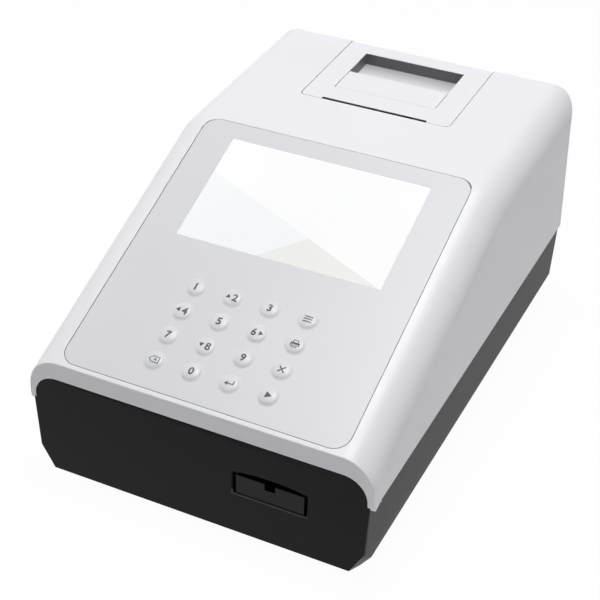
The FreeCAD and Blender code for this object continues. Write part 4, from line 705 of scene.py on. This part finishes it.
def textMesh(words, height, stroke):
    # Flat letters of the given height round the origin
    curve = bpy.data.curves.new("words", "FONT")
    curve.body = words
    curve.align_x = "CENTER"
    curve.align_y = "CENTER"
    curve.offset = stroke
    curve.resolution_u = 6
    holder = bpy.data.objects.new("words", curve)
    bpy.context.scene.collection.objects.link(holder)
    bpy.context.view_layer.update()
    data = bpy.data.meshes.new_from_object(holder.evaluated_get(bpy.context.evaluated_depsgraph_get()))
    mesh = bmesh.new()
    mesh.from_mesh(data)
    bpy.data.objects.remove(holder)
    bpy.data.curves.remove(curve)
    bpy.data.meshes.remove(data)
    low = min(vert.co.y for vert in mesh.verts)
    high = max(vert.co.y for vert in mesh.verts)
    left = min(vert.co.x for vert in mesh.verts)
    right = max(vert.co.x for vert in mesh.verts)
    size = height / (high - low)
    bmesh.ops.translate(mesh, vec=(-(left + right) / 2, -(low + high) / 2, 0), verts=mesh.verts)
    bmesh.ops.scale(mesh, vec=(size, size, size), verts=mesh.verts)
    return mesh


def addOutline(mesh, corners):
    mesh.faces.new([mesh.verts.new((x, y, 0)) for x, y in corners])


def addStroke(mesh, start, end, width):
    way = (Vector(end) - Vector(start)).normalized()
    side = Vector((-way.y, way.x)) * width / 2
    first, last = Vector(start), Vector(end)
    addOutline(mesh, [first - side, last - side, last + side, first + side])


# Each sign's strokes, as start, end and width, and its filled outline
signs = {
    "key_menu": {"strokes": [((-1.8, height), (1.8, height), 0.5) for height in (1.1, 0, -1.1)]},
    "key_print": {"strokes": [((-1.9, 0.15), (1.9, 0.15), 0.9), ((-1.65, -0.3), (-1.65, -1.0), 0.5),
                              ((1.65, -0.3), (1.65, -1.0), 0.5), ((-1.05, 0.6), (-1.05, 1.6), 0.3),
                              ((1.05, 0.6), (1.05, 1.6), 0.3), ((-1.2, 1.6), (1.2, 1.6), 0.3),
                              ((-1.0, -0.85), (1.0, -0.85), 0.3), ((-1.0, -1.5), (1.0, -1.5), 0.3),
                              ((-1.0, -0.7), (-1.0, -1.65), 0.3), ((1.0, -0.7), (1.0, -1.65), 0.3)]},
    "key_cancel": {"strokes": [((-1.3, -1.3), (1.3, 1.3), 0.55), ((-1.3, 1.3), (-0.2, 0.2), 0.55),
                               ((0.2, -0.2), (1.3, -1.3), 0.55)]},
    "key_clear": {"strokes": [((-0.6, 1.3), (2.1, 1.3), 0.35), ((-0.6, -1.3), (2.1, -1.3), 0.35),
                              ((2.1, -1.45), (2.1, 1.45), 0.35), ((-2.1, 0.0), (-0.6, 1.35), 0.35),
                              ((-2.1, 0.0), (-0.6, -1.35), 0.35), ((0.1, -0.55), (1.2, 0.55), 0.32),
                              ((0.1, 0.55), (1.2, -0.55), 0.32)]},
    "key_enter": {"strokes": [((1.7, 1.3), (1.7, -0.35), 0.45), ((1.9, -0.35), (-0.9, -0.35), 0.45)],
                  "outline": ((-2.0, -0.35), (-0.7, -1.35), (-0.7, 0.65))},
    "key_start": {"strokes": [], "outline": ((-1.1, -1.45), (1.6, 0.0), (-1.1, 1.45))},
}
# Middle and turn of the arrow beside a digit
arrows = {"key_2": ((-2.2, 0.1), 0.0), "key_4": ((-2.2, 0.1), pi / 2), "key_6": ((2.2, 0.0), -pi / 2),
          "key_8": ((-2.2, 0.1), pi)}


def addSign(mesh, sign):
    for start, end, width in sign["strokes"]:
        addStroke(mesh, start, end, width)
    if "outline" in sign:
        addOutline(mesh, sign["outline"])


def addArrow(mesh, middle, turn):
    corners = [Matrix.Rotation(turn, 2) @ Vector(corner) for corner in keys["arrow"]]
    addOutline(mesh, [Vector(middle) + corner for corner in corners])


def keyMark(name, place):
    # Sign, or digit with its arrow, laid over the dome in cells small enough to follow it
    if name in signs:
        mesh = bmesh.new()
        addSign(mesh, signs[name])
        bmesh.ops.scale(mesh, vec=(keys["signSize"], keys["signSize"], 1), verts=mesh.verts)
    else:
        mesh = textMesh(name[4:], keys["digit"], keys["stroke"])
        if name in arrows:
            middle, turn = arrows[name]
            bmesh.ops.translate(mesh, vec=(-middle[0] * keys["arrowShare"], 0, 0), verts=mesh.verts)
            addArrow(mesh, middle, turn)
    for _ in range(keys["markFolds"]):
        bmesh.ops.triangulate(mesh, faces=mesh.faces)
        long = [edge for edge in mesh.edges if edge.calc_length() > keys["markCell"]]
        if long:
            bmesh.ops.subdivide_edges(mesh, edges=long, cuts=1)
    bmesh.ops.triangulate(mesh, faces=mesh.faces)
    for face in mesh.faces:
        face.normal_update()
    bmesh.ops.reverse_faces(mesh, faces=[face for face in mesh.faces if face.normal.z < 0])
    for vert in mesh.verts:
        vert.co.z = domeHeight(sqrt(vert.co.x ** 2 + vert.co.y ** 2)) + keys["markLift"]
    bmesh.ops.scale(mesh, vec=(mm, mm, mm), verts=mesh.verts)
    bmesh.ops.transform(mesh, matrix=slopePlane @ Matrix.Translation(place), verts=mesh.verts)
    addPiece(name + "_mark", mesh, finishes["legendInk"], bodyOf[name], smooth=False)


for row, names in enumerate(keyRows):
    for column, name in enumerate(names):
        across = (column - (len(names) - 1) / 2) * keys["pitchAcross"]
        place = Vector((across, keys["topRow"] - row * keys["pitchAlong"], 0)) * mm
        keyFilm(name, place)
        keyMark(name, place)
print("keys and marks ready")


# Serial port: dark core with nine pins in its shell

serial = {"shell": (8.0 * mm, 3.7 * mm), "slant": 1.0 * mm, "coreDeep": 1.75 * mm, "coreThick": 0.5 * mm,
          "round": 0.2 * mm, "pitch": 2.77 * mm, "rows": ((1.42 * mm, 5), (-1.42 * mm, 4)), "pinRadius": 0.5 * mm,
          "pinBack": 0.35 * mm, "pinTip": ((0.5, 0.13), (0.87, 0.5), (1.0, 1.0)), "pinSteps": 20}


def serialMiddle():
    low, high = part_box("serial_port")
    return Vector(((low[0] + high[0]) / 2, high[1], (low[2] + high[2]) / 2))


def serialCore():
    mesh = bmesh.new()
    half, high = serial["shell"]
    corners = [(-half, high), (half, high), (half - serial["slant"], -high), (serial["slant"] - half, -high)]
    middle = serialMiddle()
    back = middle.y - serial["coreDeep"]
    face = mesh.faces.new([mesh.verts.new((middle.x + x, back, middle.z + z)) for x, z in corners])
    made = bmesh.ops.extrude_face_region(mesh, geom=[face])["geom"]
    moved = [item for item in made if isinstance(item, bmesh.types.BMVert)]
    bmesh.ops.translate(mesh, vec=(0, serial["coreThick"], 0), verts=moved)
    bmesh.ops.bevel(mesh, geom=mesh.edges[:], offset=serial["round"], segments=3, profile=0.5, affect="EDGES",
                    material=-1)
    bmesh.ops.recalc_face_normals(mesh, faces=mesh.faces)
    weigh(addPiece("serial_core", mesh, finishes["portPlastic"], bodyOf["serial_port"]))


def serialPins():
    mesh = bmesh.new()
    middle = serialMiddle()
    radius = serial["pinRadius"]
    front, back = middle.y - serial["pinBack"], middle.y - serial["coreDeep"]
    profile = [(0, front)] + [(radius * out, front - radius * down) for out, down in serial["pinTip"]]
    profile += [(radius, back), (0, back)]
    for rise, count in serial["rows"]:
        for index in range(count):
            x = middle.x + (index - (count - 1) / 2) * serial["pitch"]
            z = middle.z + rise
            verts = [mesh.verts.new((x + reach, y, z)) for reach, y in profile]
            edges = [mesh.edges.new(pair) for pair in zip(verts, verts[1:])]
            bmesh.ops.spin(mesh, geom=verts + edges, cent=(x, 0, z), axis=(0, 1, 0), angle=2 * pi,
                           steps=serial["pinSteps"], use_merge=True, use_duplicate=False)
    bmesh.ops.remove_doubles(mesh, verts=mesh.verts, dist=0.001 * mm)
    bmesh.ops.recalc_face_normals(mesh, faces=mesh.faces)
    addPiece("serial_pins", mesh, finishes["brightSteel"], bodyOf["serial_port"])


serialCore()
serialPins()


# Power rocker: on and off marks on its two faces

rocker = {"pivotBack": 3.4 * mm, "front": 1.313 * mm, "tilt": radians(7.0), "reach": 4.1 * mm, "height": 3.4,
          "lift": 0.02 * mm, "stroke": 0.02}


def rockerMark(name, words, side):
    # A mark laid on one of the rocker's two faces
    low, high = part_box("switch_body")
    pivot = Vector(((low[0] + high[0]) / 2, housing["rearY"] - rocker["pivotBack"], (low[2] + high[2]) / 2))
    mesh = textMesh(words, rocker["height"], rocker["stroke"])
    bmesh.ops.scale(mesh, vec=(mm, mm, mm), verts=mesh.verts)
    lay = Matrix(((-1, 0, 0), (0, 0, 1), (0, 1, 0))).to_4x4()
    out = rocker["front"] + rocker["reach"] * tan(rocker["tilt"]) + rocker["lift"]
    place = Vector((side * rocker["reach"], out, 0))
    turn = Matrix.Rotation(rocker["tilt"], 4, "Z")
    face = Matrix.Translation(place) @ Matrix.Rotation(side * rocker["tilt"], 4, "Z") @ lay
    bmesh.ops.transform(mesh, matrix=Matrix.Translation(pivot) @ turn @ face, verts=mesh.verts)
    addPiece(name, mesh, finishes["paintWhite"], bodyOf["power_rocker"], smooth=False)


rockerMark("rocker_on_mark", "I", 1)
rockerMark("rocker_off_mark", "O", -1)
print("rear details ready")


# Camera, lamps, floor

cameraView = {"azimuth": radians(25.0), "elevation": radians(33.68), "roll": radians(1.59),
              "distance": 756.62 * mm, "aim": Vector((0, -5.5, 64)) * mm, "right": -9.25 * mm,
              "up": -11.42 * mm, "lens": 88.53}


def makeCamera(look):
    turn, rise = look["azimuth"], look["elevation"]
    back = Vector((sin(turn) * cos(rise), -cos(turn) * cos(rise), sin(rise)))
    across = Vector((cos(turn), sin(turn), 0))
    upward = back.cross(across)
    right = across * cos(look["roll"]) + upward * sin(look["roll"])
    top = upward * cos(look["roll"]) - across * sin(look["roll"])
    camera = bpy.data.objects.new("camera", bpy.data.cameras.new("camera"))
    camera.data.lens = look["lens"]
    place = look["aim"] + back * look["distance"] + right * look["right"] + top * look["up"]
    camera.matrix_world = Matrix.Translation(place) @ Matrix((right, top, back)).transposed().to_4x4()
    bpy.context.scene.collection.objects.link(camera)
    bpy.context.scene.camera = camera


lampShape = {"size": 0.6, "aim": Vector((0, 0, 0.07)), "colour": (1, 1, 1)}
lamps = {
    "zenithLamp": {"place": (0, 0, 1.5), "power": 15.9},
    "rearLamp": {"place": (0, 1.0, 1.1), "power": 0.7},
    "leftHighLamp": {"place": (-1.0, 0, 1.1), "power": 1.7},
    "leftLowLamp": {"place": (-1.35, 0, 0.4), "power": 2.3},
    "rightLamp": {"place": (1.2, 0, 0.85), "power": 1.85},
    "frontHighLamp": {"place": (0, -1.0, 1.1), "power": 1.0},
    "frontLeftLamp": {"place": (-0.8, -1.1, 0.45), "power": 0.1},
    "frontRightLamp": {"place": (0.75, -1.1, 0.45), "power": 0.9},
}


def makeLamp(name, look):
    light = bpy.data.lights.new(name, "AREA")
    light.shape = "DISK"
    light.size = lampShape["size"]
    light.energy = look["power"]
    light.color = lampShape["colour"]
    lamp = bpy.data.objects.new(name, light)
    place = Vector(look["place"])
    way = lampShape["aim"] - place
    lamp.matrix_world = Matrix.Translation(place) @ way.to_track_quat("-Z", "Y").to_matrix().to_4x4()
    bpy.context.scene.collection.objects.link(lamp)


studio = {"floorSize": 6.0, "floor": (0.93, 0.93, 0.935), "floorShade": (0.945, 0.945, 0.95), "cloudScale": 3.0,
          "roughness": 0.95, "sockets": {"Specular IOR Level": 0.0}, "lift": 0.97}


def seenDirectly(tree):
    # One for camera, glossy and transmission rays, nought for the rays that carry light
    path = addNode(tree, "LightPath").outputs
    seen = compute(tree, "MAXIMUM", path["Is Camera Ray"], path["Is Glossy Ray"])
    return compute(tree, "MAXIMUM", seen, path["Is Transmission Ray"])


def makeSurroundings(look):
    world = bpy.data.worlds.new("studio")
    world.use_nodes = True
    bpy.context.scene.world = world
    tree = world.node_tree
    background = tree.nodes["Background"]
    tree.links.new(seenDirectly(tree), background.inputs["Strength"])
    background.inputs["Color"].default_value = (1, 1, 1, 1)
    mesh = bmesh.new()
    bmesh.ops.create_grid(mesh, x_segments=1, y_segments=1, size=look["floorSize"])
    data = bpy.data.meshes.new("floor")
    mesh.to_mesh(data)
    mesh.free()
    floor = bpy.data.objects.new("floor", data)
    bpy.context.scene.collection.objects.link(floor)
    finish, tree, shader, where = newFinish("floorPaper", look)
    stain = spread(tree, noise(tree, where, look["cloudScale"]), *stainRange)
    tree.links.new(mixColours(tree, stain, look["floor"], look["floorShade"]), shader.inputs["Base Color"])
    glow = addNode(tree, "Emission", {"Color": (1, 1, 1, 1), "Strength": 1.0})
    blend = addNode(tree, "MixShader", {0: compute(tree, "MULTIPLY", seenDirectly(tree), look["lift"]),
                                        1: shader.outputs[0], 2: glow.outputs[0]})
    tree.links.new(blend.outputs[0], tree.nodes["Material Output"].inputs["Surface"])
    data.materials.append(finish)


makeCamera(cameraView)
for name, look in lamps.items():
    makeLamp(name, look)
makeSurroundings(studio)
bpy.context.scene.view_settings.view_transform = "Standard"
print("studio ready")
